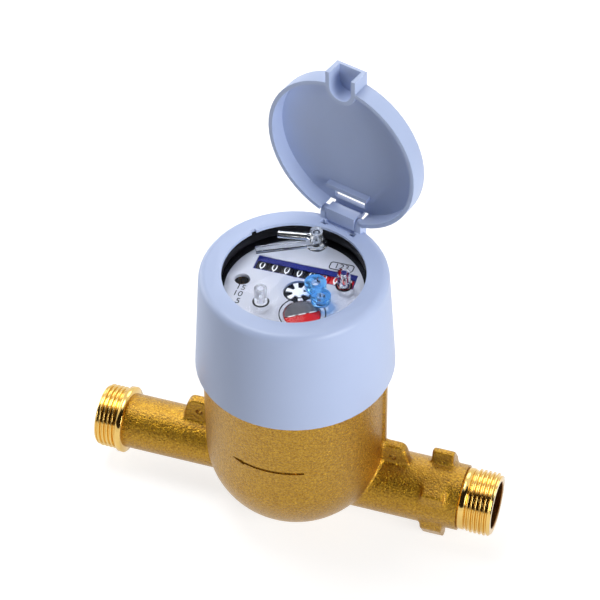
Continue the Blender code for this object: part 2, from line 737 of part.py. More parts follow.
def drive_magnet():
    bm = bmesh.new()
    bore = STUB_R + RUNNING
    bore_z = MAGNET_TOP_Z - STUB_LENGTH + 2 * GAP
    outline = [(0.0, MAGNET_Z), (MAGNET_R, MAGNET_Z), (MAGNET_R, MAGNET_TOP_Z), (bore, MAGNET_TOP_Z)]
    turned(bm, outline + [(bore, bore_z), (0.0, bore_z)], COARSE)
    magnet = finish("drive_magnet", bm, black_plastic(), (DRIVE_X, DRIVE_Y, 0))
    pocket = bmesh.new()
    x = PISTON_ORBIT * math.cos(PISTON_ANGLE)
    y = PISTON_ORBIT * math.sin(PISTON_ANGLE)
    cylinder(pocket, x, y, PISTON_PIN_R + RUNNING, MAGNET_Z - PAST, MAGNET_Z + MAGNET_POCKET, COARSE)
    cut(magnet, guide("magnet_pocket", pocket, (DRIVE_X, DRIVE_Y, 0)))


# Top of the pressure vessel

def body_seal():
    bm = bmesh.new()
    tube(bm, 0.0, 0.0, BOWL_BORE_R + GAP, RIM_BORE_R - GAP, SEAL_Z, SEAL_Z + SEAL_HEIGHT, MEDIUM)
    finish("body_seal", bm, rubber())


def pressure_plate():
    bm = bmesh.new()
    skirt_in = PLATE_SKIRT_R - PLATE_SKIRT_WALL
    skirt_z = COVER_TOP_Z + GAP
    outline = [(0.0, PLATE_Z), (skirt_in, PLATE_Z), (skirt_in, skirt_z), (PLATE_SKIRT_R, skirt_z)]
    outline += [(PLATE_SKIRT_R, PLATE_Z), (RIM_BORE_R - GAP, PLATE_Z), (RIM_BORE_R - GAP, PLATE_TOP_Z)]
    turned(bm, outline + [(0.0, PLATE_TOP_Z)], MEDIUM)
    plate = finish("pressure_plate", bm, machined_brass())
    stub = bmesh.new()
    cylinder(stub, DRIVE_X, DRIVE_Y, STUB_R, MAGNET_TOP_Z - STUB_LENGTH + 3 * GAP, PLATE_Z + PAST, COARSE)
    join(plate, guide("plate_stub", stub))


def clamp_ring():
    bm = bmesh.new()
    top = CLAMP_Z + CLAMP_HEIGHT
    tube(bm, 0.0, 0.0, CLAMP_BORE_R, RIM_BORE_R - GAP, CLAMP_Z, top, MEDIUM)
    ring = finish("clamp_ring", bm, machined_brass())
    notches = bmesh.new()
    half = CLAMP_NOTCH / 2
    for side in (1, -1):
        reach = sorted((side * (CLAMP_BORE_R - 0.002), side * (CLAMP_BORE_R + 0.0025)))
        box(notches, reach, (-half, half), (top - 0.002, top + PAST))
        box(notches, (-half, half), reach, (top - 0.002, top + PAST))
    cut(ring, guide("clamp_notches", notches))


# Register

def register_cup():
    bm = bmesh.new()
    well_in = WELL_R - WELL_WALL
    ledge_in = CUP_R - CUP_LEDGE_WALL
    wall_in = CUP_R - CUP_WALL
    floor = CUP_Z + CUP_FLOOR
    outline = [(0.0, WELL_Z), (WELL_R, WELL_Z), (WELL_R, CUP_Z), (CUP_R, CUP_Z), (CUP_R, CUP_RIM_Z), (wall_in, CUP_RIM_Z)]
    outline += [(wall_in, CUP_LEDGE_Z), (ledge_in, CUP_LEDGE_Z), (ledge_in, floor), (well_in, floor)]
    turned(bm, outline + [(well_in, WELL_Z + WELL_WALL), (0.0, WELL_Z + WELL_WALL)], MEDIUM)
    finish("register_cup", bm, black_plastic())


def pinion_direction():
    return math.atan2(PULSE_Y - DRIVE_Y, PULSE_X - DRIVE_X)


def follower_magnet():
    bm = bmesh.new()
    top = FOLLOWER_Z + FOLLOWER_HEIGHT
    shaft_top = MARK_Z - GAP
    outline = [(0.0, FOLLOWER_Z), (MAGNET_R, FOLLOWER_Z), (MAGNET_R, top), (SPINDLE_R, top), (SPINDLE_R, shaft_top)]
    turned(bm, outline + [(0.0, shaft_top)], COARSE)
    spindle = finish("follower_magnet", bm, black_plastic(), (DRIVE_X, DRIVE_Y, 0))
    pinion = bmesh.new()
    prism(pinion, gear_outline(PINION_TEETH, MODULE, pinion_direction()), GEAR_Z - GAP, GEAR_Z + GEAR_HEIGHT + GAP)
    join(spindle, guide("pinion", pinion, (DRIVE_X, DRIVE_Y, 0)))


def pulse_gear():
    bm = bmesh.new()
    phase = pinion_direction() + math.pi * (1 + 1 / WHEEL_TEETH)
    prism(bm, gear_outline(WHEEL_TEETH, MODULE, phase), GEAR_Z, GEAR_Z + GEAR_HEIGHT)
    gear = finish("pulse_gear", bm, white_plastic(), (PULSE_X, PULSE_Y, 0))
    arbor = bmesh.new()
    low = GEAR_PLATE_Z - PAST
    hub = GEAR_PLATE_TOP_Z + GAP
    top = MARK_Z - GAP
    outline = [(0.0, low), (SPINDLE_R, low), (SPINDLE_R, hub), (3 * SPINDLE_R, hub), (3 * SPINDLE_R, GEAR_Z + PAST)]
    turned(arbor, outline + [(SPINDLE_R, GEAR_Z + PAST), (SPINDLE_R, top), (0.0, top)], SMALL)
    join(gear, guide("pulse_arbor", arbor, (PULSE_X, PULSE_Y, 0)))


def pulse_disc():
    bm = bmesh.new()
    cylinder(bm, 0.0, 0.0, PULSE_R, MARK_Z, MARK_Z + MARK_THICK, MEDIUM)
    finish("pulse_disc", bm, red_plastic(), (PULSE_X, PULSE_Y, 0))


def star_wheel():
    bm = bmesh.new()
    outline = []
    pitch = 2 * math.pi / STAR_ARMS
    for i in range(STAR_ARMS):
        for radius, turn in ((STAR_HUB_R, -0.25), (STAR_R, -0.21), (STAR_R, 0.21), (STAR_HUB_R, 0.25)):
            angle = (i + turn) * pitch
            outline.append((radius * math.cos(angle), radius * math.sin(angle)))
    prism(bm, outline, MARK_Z, MARK_Z + MARK_THICK)
    finish("star_wheel", bm, white_plastic(), (DRIVE_X, DRIVE_Y, 0))


def gear_plate():
    bm = bmesh.new()
    cylinder(bm, 0.0, 0.0, PLATE_R, GEAR_PLATE_Z, GEAR_PLATE_TOP_Z, MEDIUM)
    plate = finish("gear_plate", bm, machined_brass())
    pillars = bmesh.new()
    for i in range(4):
        angle = PILLAR_TURN + i * math.pi / 2
        x = PILLAR_AT * math.cos(angle)
        y = PILLAR_AT * math.sin(angle)
        cylinder(pillars, x, y, PILLAR_R, GEAR_PLATE_Z + GEAR_PLATE_THICK / 2, DIAL_Z - GAP, SMALL)
    join(plate, guide("plate_pillars", pillars))
    bores = bmesh.new()
    for x, y in ((DRIVE_X, DRIVE_Y), (PULSE_X, PULSE_Y)):
        cylinder(bores, x, y, SPINDLE_R + RUNNING, GEAR_PLATE_Z - PAST, GEAR_PLATE_TOP_Z + PAST, COARSE)
    cut(plate, guide("plate_bores", bores))


def counter_ends():
    half = DRUMS * DRUM_PITCH / 2 + GAP / 2
    return COUNTER_X - half, COUNTER_X + half


def counter_frame():
    bm = bmesh.new()
    low, high = counter_ends()
    base = GEAR_PLATE_TOP_Z + GAP
    top = DIAL_Z - GAP
    outline = [(low - CHEEK, base), (high + CHEEK, base), (high + CHEEK, top), (high, top), (high, base + FRAME_BASE)]
    outline += [(low, base + FRAME_BASE), (low, top), (low - CHEEK, top)]
    verts = prism(bm, outline, -COUNTER_Y - FRAME_HALF, -COUNTER_Y + FRAME_HALF)
    lay_along_y(bm, verts)
    frame = finish("counter_frame", bm, steel())
    bores = bmesh.new()
    verts = cylinder(bores, 0.0, 0.0, SPINDLE_R + GAP, low - CHEEK - PAST, high + CHEEK + PAST, SMALL)
    lay_along_x(bores, verts)
    cut(frame, guide("counter_bores", bores, (0, COUNTER_Y, DRUM_Z)))


def counter_shaft():
    bm = bmesh.new()
    low, high = counter_ends()
    verts = cylinder(bm, 0.0, 0.0, SPINDLE_R, low - CHEEK, high + CHEEK, SMALL)
    lay_along_x(bm, verts)
    finish("counter_shaft", bm, steel(), (0, COUNTER_Y, DRUM_Z))


def number_drum(index):
    bm = bmesh.new()
    half = (DRUM_PITCH - GAP) / 2
    verts = tube(bm, 0.0, 0.0, SPINDLE_R + RUNNING, DRUM_R, -half, half, COARSE)
    lay_along_x(bm, verts)
    x = COUNTER_X + (index - (DRUMS - 1) / 2) * DRUM_PITCH
    finish("number_drum_%d" % (index + 1), bm, red_plastic() if index > 4 else black_plastic(), (x, COUNTER_Y, DRUM_Z))


def dial_plate():
    bm = bmesh.new()
    cylinder(bm, 0.0, 0.0, PLATE_R, DIAL_Z, DIAL_TOP_Z, MEDIUM)
    dial = finish("dial_plate", bm, white_plastic())
    low = DIAL_Z - PAST
    high = DIAL_TOP_Z + PAST
    openings = bmesh.new()
    across = (COUNTER_X - WINDOW_WIDTH / 2, COUNTER_X + WINDOW_WIDTH / 2)
    box(openings, across, (COUNTER_Y - WINDOW_HEIGHT / 2, COUNTER_Y + WINDOW_HEIGHT / 2), (low, high))
    cylinder(openings, DRIVE_X, DRIVE_Y, SPINDLE_R + GAP, low, RECESS_Z + PAST / 2, SMALL)
    cylinder(openings, PULSE_X, PULSE_Y, SPINDLE_R + GAP, low, RECESS_Z + PAST / 2, SMALL)
    cylinder(openings, DIAL_HOLE_X, DIAL_HOLE_Y, DIAL_HOLE_R, low, high, COARSE)
    cut(dial, guide("dial_openings", openings))
    star = bmesh.new()
    cylinder(star, DRIVE_X, DRIVE_Y, STAR_RECESS_R, RECESS_Z, high, COARSE)
    cut(dial, guide("star_recess", star))
    pulse = bmesh.new()
    cylinder(pulse, PULSE_X, PULSE_Y, PULSE_RECESS_R, RECESS_Z, high, COARSE)
    cut(dial, guide("pulse_recess", pulse))


def register_glass():
    bm = bmesh.new()
    cylinder(bm, 0.0, 0.0, GLASS_R, GLASS_Z, GLASS_TOP_Z, FINE)
    glass = finish("register_glass", bm, clear_plastic())
    posts = bmesh.new()
    inside = GLASS_TOP_Z - GLASS_THICK / 2
    for x, y in POSTS:
        cylinder(posts, x, y, POST_R, inside, GLASS_TOP_Z + POST_HEIGHT, SMALL)
    cylinder(posts, WIPER_X, WIPER_Y, WIPER_STUB_R, inside, WIPER_HUB_TOP - WIPER_CAP - GAP, SMALL)
    for x, y, _ in CLIP_LOOPS:
        cylinder(posts, x, y, CLIP_HOLE_R - GAP, inside, WIPER_Z + CLIP_THICK - GAP, SMALL)
    join(glass, guide("glass_posts", posts))
    bores = bmesh.new()
    for x, y in POSTS:
        cylinder(bores, x, y, POST_BORE_R, GLASS_TOP_Z, GLASS_TOP_Z + POST_HEIGHT + PAST, SMALL)
    cut(glass, guide("post_bores", bores))


def holding_ring():
    bm = bmesh.new()
    collar_r = LIP_R - GAP
    shoulder_z = SHROUD_UNDER_Z - GAP
    collar_top = LIP_Z - GAP
    outline = [(HOLDING_RING_BORE_R, GLASS_TOP_Z + GAP), (GLASS_R, GLASS_TOP_Z + GAP), (GLASS_R, shoulder_z)]
    outline += [(collar_r, shoulder_z), (collar_r, collar_top), (HOLDING_RING_BORE_R, collar_top)]
    turned(bm, outline, MEDIUM)
    finish("holding_ring", bm, black_plastic())


def wiper():
    bm = bmesh.new()
    cylinder(bm, 0.0, 0.0, WIPER_HUB_R, WIPER_Z, WIPER_HUB_TOP, COARSE)
    made = finish("wiper", bm, clear_plastic(), (WIPER_X, WIPER_Y, 0))
    blade = bmesh.new()
    bar(blade, (0, 0), BLADE_ANGLE, BLADE_LENGTH, BLADE_HALF, WIPER_Z, WIPER_Z + BLADE_THICK)
    bar(blade, (0, 0), ARM_ANGLE, ARM_LENGTH, ARM_HALF, WIPER_Z + ARM_LIFT, WIPER_Z + ARM_LIFT + BLADE_THICK)
    join(made, guide("wiper_blades", blade, (WIPER_X, WIPER_Y, 0)))
    bore = bmesh.new()
    cylinder(bore, 0.0, 0.0, WIPER_STUB_R + RUNNING, WIPER_Z - PAST, WIPER_HUB_TOP - WIPER_CAP, COARSE)
    cut(made, guide("wiper_bore", bore, (WIPER_X, WIPER_Y, 0)))


def module_clip():
    bm = bmesh.new()
    x, y, radius = CLIP_LOOPS[0]
    cylinder(bm, x, y, radius, WIPER_Z, WIPER_Z + CLIP_THICK, COARSE)
    clip = finish("module_clip", bm, blue_plastic())
    second = bmesh.new()
    x, y, radius = CLIP_LOOPS[1]
    cylinder(second, x, y, radius, WIPER_Z, WIPER_Z + CLIP_THICK, COARSE)
    join(clip, guide("clip_loop", second))
    holes = bmesh.new()
    for x, y, _ in CLIP_LOOPS:
        cylinder(holes, x, y, CLIP_HOLE_R, WIPER_Z - PAST, WIPER_Z + CLIP_THICK + PAST, SMALL)
    cut(clip, guide("clip_holes", holes))


# Shroud, hinge and lid

def hinge_frame():
    made = bpy.data.objects.new("hinge_frame", None)
    made.rotation_euler = (0, 0, HINGE_TURN)
    bpy.context.scene.collection.objects.link(made)
    return made


def hinge_ears(frame):
    bm = bmesh.new()
    low = SHROUD_UNDER_Z + 0.0005
    half_round = arc(HINGE_R, HINGE_Z, EAR_R, 0.0, 180.0, 8)
    outline = half_round + [(HINGE_R - EAR_R, low), (HINGE_R + EAR_R, low)]
    inner = TONGUE_HALF + GAP
    for near, far in ((inner, inner + EAR_THICK), (-inner - EAR_THICK, -inner)):
        verts = prism(bm, [(-z, y) for y, z in outline], near, far)
        lay_along_x(bm, verts)
    return guide("hinge_ears", bm, parent=frame)


def pin_hole(name, frame, radius, half):
    bm = bmesh.new()
    verts = cylinder(bm, 0.0, 0.0, radius, -half, half, SMALL)
    lay_along_x(bm, verts)
    return guide(name, bm, (0, HINGE_R, HINGE_Z), frame)


def shroud_ring_cuts(frame):
    bm = bmesh.new()
    reach = math.hypot(TONGUE_FRONT, TONGUE_THICK / 2) + GAP
    inner = TONGUE_HALF + GAP
    high = SHROUD_TOP_Z + PAST
    box(bm, (-inner, inner), (HINGE_R - reach, HINGE_R + reach + PAST), (HINGE_Z - reach, high))
    return guide("tongue_recess", bm, parent=frame)


def shroud_square_holes(frame):
    bm = bmesh.new()
    for side in (1, -1):
        across = sorted((side * EAR_HOLE_IN, side * EAR_HOLE_OUT))
        box(bm, across, (EAR_HOLE_FRONT, EAR_HOLE_BACK), (SHROUD_UNDER_Z - PAST, SHROUD_TOP_Z + PAST))
    return guide("square_holes", bm, parent=frame)


def opening_notch():
    bm = bmesh.new()
    half = OPENING_NOTCH
    verts = box(bm, (OPENING_R - PAST, OPENING_R + OPENING_NOTCH), (-half, half), (SHROUD_UNDER_Z - PAST, SHROUD_TOP_Z + PAST))
    bmesh.ops.rotate(bm, verts=verts, cent=(0, 0, 0), matrix=Matrix.Rotation(OPENING_NOTCH_ANGLE, 3, "Z"))
    return guide("opening_notch", bm)


def shroud(frame):
    bm = bmesh.new()
    foot_bore = BOWL_R + GAP
    corner_r = SHROUD_TOP_R - SHROUD_EDGE_R
    corner_z = SHROUD_TOP_Z - SHROUD_EDGE_R
    outline = [(foot_bore, SHROUD_FOOT_Z), (SHROUD_FOOT_R, SHROUD_FOOT_Z)]
    outline += arc(corner_r, corner_z, SHROUD_EDGE_R, 0.0, 90.0, 4)
    outline += [(OPENING_R, SHROUD_TOP_Z), (OPENING_R, LIP_Z), (LIP_R, LIP_Z), (LIP_R, SHROUD_UNDER_Z)]
    outline += [(SHROUD_BORE_R, SHROUD_UNDER_Z), (SHROUD_BORE_R, BOWL_RIM_Z + GAP), (foot_bore, BOWL_RIM_Z + GAP)]
    turned(bm, outline, FINE)
    made = finish("shroud", bm, shroud_plastic())
    join(made, hinge_ears(frame))
    cut(made, shroud_ring_cuts(frame))
    cut(made, shroud_square_holes(frame))
    cut(made, opening_notch())
    cut(made, pin_hole("ear_holes", frame, PIN_R + GAP, TONGUE_HALF + EAR_THICK + PAST))


def hinge_pin(frame):
    bm = bmesh.new()
    half = TONGUE_HALF + GAP + EAR_THICK
    verts = cylinder(bm, 0.0, 0.0, PIN_R, -half, half, SMALL)
    lay_along_x(bm, verts)
    finish("hinge_pin", bm, steel(), (0, HINGE_R, HINGE_Z), frame)


def lid_levels():
    """Heights in the lid's own frame, lid closed: rim, inside of the plate and top."""
    rim = -LID_RIM
    return rim, rim + LID_DEPTH - LID_PLATE, rim + LID_DEPTH


def stadium(bm, half, end, centre, low, high):
    """A U outline that is open towards -Y: straight from end to centre, then a half circle."""
    outline = [(-half, end), (half, end)]
    outline += [(x, centre + y) for x, y in arc(0.0, 0.0, half, 0.0, 180.0, 12)]
    prism(bm, outline, low, high)


def lid_tongue(lid):
    bm = bmesh.new()
    half = TONGUE_THICK / 2
    box(bm, (-TONGUE_HALF, TONGUE_HALF), (-TONGUE_FRONT, TONGUE_BACK), (-half, half))
    return guide("lid_tongue", bm, parent=lid)


def lid_shelf(lid):
    bm = bmesh.new()
    _, inside, _ = lid_levels()
    across = (-SHELF_HALF, SHELF_HALF)
    box(bm, across, (-SLOT_FRONT - SHELF_THICK, -SLOT_FRONT), (inside - SHELF_REACH, inside + LID_PLATE / 2))
    return guide("lid_shelf", bm, parent=lid)


def lid_tab(lid):
    bm = bmesh.new()
    rim, _, top = lid_levels()
    front = -LID_CENTRE - LID_R
    stadium(bm, TAB_HALF, front - TAB_REACH, front + NOTCH_DEPTH - NOTCH_HALF, rim, top - LID_ROUND / 3)
    return guide("lid_tab", bm, parent=lid)


def lid_notch(lid):
    bm = bmesh.new()
    rim, inside, _ = lid_levels()
    front = -LID_CENTRE - LID_R
    stadium(bm, NOTCH_HALF, front - TAB_REACH - PAST, front + NOTCH_DEPTH - NOTCH_HALF, rim - PAST, inside)
    return guide("lid_notch", bm, parent=lid)


def lid_slots(lid):
    bm = bmesh.new()
    rim, inside, top = lid_levels()
    box(bm, (-SLOT_HALF, SLOT_HALF), (-SLOT_FRONT, -SLOT_BACK), (inside - LID_PLATE / 2, top + PAST))
    ear_reach = EAR_R + GAP
    for side in (1, -1):
        across = sorted((side * TONGUE_HALF, side * (TONGUE_HALF + EAR_THICK + 2 * GAP)))
        box(bm, across, (-ear_reach, TONGUE_BACK + PAST), (rim - PAST, top + PAST))
    return guide("lid_slots", bm, parent=lid)


def lid(frame):
    bm = bmesh.new()
    rim, inside, top = lid_levels()
    corner_r = LID_R - LID_ROUND
    corner_z = top - LID_ROUND
    outline = [(0.0, inside), (LID_R - LID_SKIRT, inside), (LID_R - LID_SKIRT, rim), (LID_R, rim)]
    outline += arc(corner_r, corner_z, LID_ROUND, 0.0, 90.0, 3)
    turned(bm, outline + [(0.0, top)], FINE, (0.0, -LID_CENTRE))
    made = finish("lid", bm, shroud_plastic(), (0, HINGE_R, HINGE_Z), frame)
    made.rotation_euler = (LID_OPEN, 0, 0)
    join(made, lid_tongue(made))
    join(made, lid_shelf(made))
    join(made, lid_tab(made))
    cut(made, lid_notch(made))
    cut(made, lid_slots(made))
    bore = bmesh.new()
    verts = cylinder(bore, 0.0, 0.0, PIN_R + RUNNING, -TONGUE_HALF - PAST, TONGUE_HALF + PAST, COARSE)
    lay_along_x(bore, verts)
    cut(made, guide("tongue_bore", bore, parent=made))


def clear_scene():
    for found in list(bpy.data.objects):
        bpy.data.objects.remove(found, do_unlink=True)


def main():
    clear_scene()
    body_casting()
    inlet_strainer()
    chamber_base()
    partition_plate()
    rotary_piston()
    chamber_cover()
    drive_magnet()
    body_seal()
    pressure_plate()
    clamp_ring()
    register_cup()
    follower_magnet()
    gear_plate()
    pulse_gear()
    pulse_disc()
    star_wheel()
    counter_frame()
    counter_shaft()
    for index in range(DRUMS):
        number_drum(index)
    dial_plate()
    register_glass()
    holding_ring()
    wiper()
    module_clip()
    frame = hinge_frame()
    shroud(frame)
    hinge_pin(frame)
    lid(frame)


main()
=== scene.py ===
# Looks of the water meter: cast brass body, threaded ends, register under a clear cover, shroud and lid.
# Metres, +Z up. X runs along the pipe, and Z = 0 is the flat foot under the bowl.
import json
import math

import bpy
from mathutils import Matrix, Vector

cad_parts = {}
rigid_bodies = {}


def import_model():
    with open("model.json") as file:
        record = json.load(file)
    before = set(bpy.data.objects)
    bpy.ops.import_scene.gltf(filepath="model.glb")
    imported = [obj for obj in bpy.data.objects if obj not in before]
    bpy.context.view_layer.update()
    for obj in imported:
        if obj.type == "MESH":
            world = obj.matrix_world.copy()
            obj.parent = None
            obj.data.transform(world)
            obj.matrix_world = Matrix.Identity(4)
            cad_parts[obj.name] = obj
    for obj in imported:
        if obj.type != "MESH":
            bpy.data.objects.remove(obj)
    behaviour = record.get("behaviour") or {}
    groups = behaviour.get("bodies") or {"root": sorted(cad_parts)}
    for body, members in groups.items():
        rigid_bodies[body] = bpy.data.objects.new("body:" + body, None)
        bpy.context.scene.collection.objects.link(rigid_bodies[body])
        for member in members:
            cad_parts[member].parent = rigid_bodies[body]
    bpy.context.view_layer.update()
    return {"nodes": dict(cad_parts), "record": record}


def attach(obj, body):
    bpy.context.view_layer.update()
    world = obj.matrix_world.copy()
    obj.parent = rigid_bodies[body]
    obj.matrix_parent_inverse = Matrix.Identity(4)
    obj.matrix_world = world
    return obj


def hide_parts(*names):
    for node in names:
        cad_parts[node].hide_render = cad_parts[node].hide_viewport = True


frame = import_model()

# Tools: distances at which points are welded, angles, and how far a cutter stands past the face it opens
WELD = 0.000002
FINE_WELD = 0.000001
FLAT_ANGLE = math.radians(0.7)
BEVEL_ANGLE = math.radians(32.0)
PAST = 0.001

# Cast body
AXIS_Z = 0.019
END_X = 0.085
BOWL_R = 0.0368
BOWL_TOP_Z = 0.090
BOWL_ROUND_R = 0.0340
BOWL_ROUND_Z = 0.0342
BOWL_BOTTOM_Z = 0.0072
FOOT_R = 0.0155
FOOT_HEIGHT = 0.0048
FOOT_TAPER = 0.0006
CAVITY_R = 0.0312
CAVITY_FLOOR_Z = 0.030
RIM_BORE_R = 0.0330
LEDGE_Z = 0.075
INLET_PIPE_R = 0.0135
OUTLET_PIPE_R = 0.0115
PIPE_START_X = 0.020
MOUTH_R = 0.00965
MOUTH_DEPTH = 0.015
WATERWAY_R = 0.0075
PORT_X = 0.020
PORT_R = 0.006
CAST_VOXEL = 0.00065
CAST_SMOOTHING = 5

# Wrench block: half of its section, as (Y, Z) from the pipe's axis: the flat at the back and the upper foot
WRENCH_X = 0.056
WRENCH_WIDTH = 0.0092
WRENCH_HALF = (
    (0.0128, -0.0096), (0.0128, 0.0096), (0.0080, 0.0170), (0.0069, 0.0182), (0.0044, 0.0182),
    (0.0030, 0.0126), (-0.0045, 0.0127),
)

# Sealing lugs, their outer corner as steps back from the reach and down from the top, and the ridges above
LUG_ROOT_X = BOWL_R - 0.003
LUG_REACH = 0.0484
LUG_LOW_Z = AXIS_Z + 0.008
LUG_TOP_Z = AXIS_Z + 0.0225
LUG_CORNER = ((0.0, 0.0085), (0.0017, 0.0024), (0.0026, 0.0008), (0.0044, 0.0))
LUG_THICK = 0.0045
LUG_HOLE = (0.0415, AXIS_Z + 0.0168)
LUG_HOLE_R = 0.0015
LUG_HOLE_REACH = 0.004
RIDGE_X = (BOWL_R - 0.002, BOWL_R + 0.0011)
RIDGE_HALF = 0.001
RIDGE_Z = (LUG_TOP_Z - 0.002, 0.0777)

# Flow arrow, a groove round the bowl: angles along it, half heights and depth
ARROW_Z = 0.050
ARROW_TIP = math.radians(-115.0)
ARROW_HEAD = math.radians(9.0)
ARROW_TAIL = math.radians(-67.0)
ARROW_NECK = 0.004
ARROW_TIP_HALF = 0.0001
ARROW_HEAD_HALF = 0.0013
ARROW_SHAFT_HALF = 0.0006
ARROW_DEPTH = 0.0006
ARROW_STEPS = 16

# Turned ends: thread lengths, shoulders, the thread's section and its ends, and the sleeve of painted shade
# in the mouth
INLET_THREAD = 0.0110
INLET_RING = 0.0030
INLET_RING_R = 0.0127
OUTLET_THREAD = 0.0094
COLLAR_WIDTH = 0.0026
COLLAR_R = 0.0140
THREAD_SPACE_R = 0.020
THREAD_PITCH = 0.001814
THREAD_CREST_R = 0.01312
THREAD_ROOT_R = 0.01205
THREAD_ROOT_SHARE = 0.12
THREAD_FLANK_SHARE = 0.76
RUN_OUT_TURNS = 0.9
LEAD_IN_TURNS = 0.8
LEAD_IN_LEAST = 0.15
TURNED_STEPS = 160
PITCH_ROWS = 16
TURNED_EDGE = 0.0003
SLEEVE_START = 0.0002
SLEEVE_GAP = 0.00001

# Register
DRIVE = (0.0020, -0.0012)
PULSE = (0.0073, -0.0123)
COUNTER = (0.0014, 0.0099)
WINDOW = (0.0402, 0.0078)
DRUM_PITCH = 0.00495
DRUM_R = 0.0062
DRUM_Z = 0.108
DRUMS = 8
FIRST_RED_DRUM = 5
DIGITS = 10
DIGIT_SIZE = 0.0056
DIGIT_NARROWING = 0.86
DIGIT_LIFT = 0.00003
DIGIT_RELIEF = 0.00004
DIAL_Z = 0.1152
RECESS_Z = 0.1141
GLASS_TOP_Z = 0.11800
MASK_GAP = 0.0001
MASK_SIDE = 0.0005
MASK_Z = (0.1146, 0.1150)
MASK_HOLE_Y = (-0.0033, 0.0010)
MASK_HOLE_Z = (0.114, 0.116)
POSTS = ((-0.0090, -0.0132), (0.0186, 0.0046))
POST_R = 0.0025
POST_RING = (POST_R + 0.0008, POST_R + 0.00003)
WIPER_AT = (0.0015, 0.02350)
WIPER_Z = 0.11830
WIPER_FLANGE_R = 0.0043
WIPER_FLANGE_THICK = 0.0009

# Printing on the dial: its thickness, how far it stands clear, and what is printed
PRINT = 0.00006
PRINT_LIFT = 0.00002
DIAL_BORDER = (0.0316, 0.0268)
PULSE_OUTLINE = (0.0090, 0.0086)
BOX_AT = (0.0138, 0.0166)
BOX_SIZE = (0.0098, 0.0044)
BOX_LINE = 0.00045
BOX_ROUND = 0.0012
BOX_LEAST_ROUND = 0.00005
DIAL_NUMBER_SIZE = 0.0040
DIAL_NUMBERS = (
    ("box_number", "123", BOX_AT), ("scale_number_a", "15", (-0.0195, -0.0058)),
    ("scale_number_b", "10", (-0.0195, -0.0094)), ("scale_number_c", "5", (-0.0182, -0.0132)),
)

# Star ground and pulse disc
STAR_GROUND_R = 0.0057
STAR_GROUND_THICK = 0.0002
STAR_HOLE_R = 0.0014
PULSE_R = 0.0070
PULSE_TURN = math.radians(33.6)
PULSE_LOW_Z = 0.1144
PULSE_EDGE_Z = 0.1149
PULSE_EDGE = 0.0001
PULSE_TOP_Z = 0.1150
SLATE_R = PULSE_R - 0.0002
SLATE_LIFT = (0.00001, 0.00016)
DASH_X = (-0.0042, 0.0, 0.0042)
DASH_HALF = (0.0014, 0.00025)
DASH_THICK = 0.0002

# Camera at the photograph's viewing angle
CAMERA_AZIMUTH = math.radians(18.715)
CAMERA_ELEVATION = math.radians(43.678)
CAMERA_ROLL = math.radians(-0.866)
CAMERA_DISTANCE = 0.956
CAMERA_AIM = (0.00218, 0.02918, 0.069)
CAMERA_LENS = 144.14
CAMERA_SENSOR = 36.0
CAMERA_NEAR = 0.05

# Studio. Each lamp has a name, a place, the height it is aimed at, a size in metres and a power in watts.
FLOOR_SIZE = 6.0
FLOOR_GLOW = (0.22, 0.76)
FLOOR_IN_METAL = 0.8
WORLD_GLOW = (0.20, 1.0)
WALL_R = 1.6
WALL_ELEVATIONS = (10.0, 26.0, 42.0, 58.0, 74.0)
WALL_REACH = 80.0
WALL_STEPS = 16
LAMPS = (
    ("key", (0.86, -0.44, 0.42), 0.07, 0.6, 7.6),
    ("top", (-0.28, 0.12, 1.0), 0.07, 0.5, 3.8),
    ("back", (-0.10, 0.85, 0.70), 0.08, 0.6, 2.4),
    ("fill", (-0.95, 0.22, 0.40), 0.07, 0.6, 3.2),
)


# Tools

def deselect():
    for found in bpy.context.view_layer.objects:
        found.select_set(False)


def pick(piece):
    deselect()
    piece.select_set(True)
    bpy.context.view_layer.objects.active = piece


def edit(piece):
    pick(piece)
    bpy.ops.object.mode_set(mode="EDIT")
    bpy.ops.mesh.select_all(action="SELECT")


def leave_edit():
    bpy.ops.object.mode_set(mode="OBJECT")


def modify(piece, kind, **values):
    pick(piece)
    step = piece.modifiers.new(kind.title(), kind)
    for name, value in values.items():
        setattr(step, name, value)
    bpy.ops.object.modifier_apply(modifier=step.name)
    return piece


def settle(piece, move=None):
    """Put the piece's place into its mesh, so that its object sits at the origin."""
    pick(piece)
    if move is not None:
        piece.matrix_world = move @ piece.matrix_world
    bpy.ops.object.transform_apply(location=True, rotation=True, scale=True)
    return piece


def shift(piece, centre, height=0.0, turn=0.0):
    """Turn the piece round Z, then carry it to a centre in X and Y and up by a height."""
    return settle(piece, Matrix.Translation((*centre, height)) @ Matrix.Rotation(turn, 4, "Z"))


def soften(piece, angle=35.0):
    pick(piece)
    bpy.ops.object.shade_smooth_by_angle(angle=math.radians(angle))
    return piece


def bevel(piece, width, segments):
    return modify(
        piece, "BEVEL", width=width, segments=segments, limit_method="ANGLE", angle_limit=BEVEL_ANGLE,
        harden_normals=False,
    )


def face_outward():
    """In edit mode: turn every normal outward, then leave."""
    bpy.ops.mesh.select_all(action="SELECT")
    bpy.ops.mesh.normals_make_consistent(inside=False)
    leave_edit()


def make(name, verts, edges, faces=()):
    mesh = bpy.data.meshes.new(name)
    mesh.from_pydata([tuple(v) for v in verts], edges, faces)
    piece = bpy.data.objects.new(name, mesh)
    bpy.context.scene.collection.objects.link(piece)
    return piece


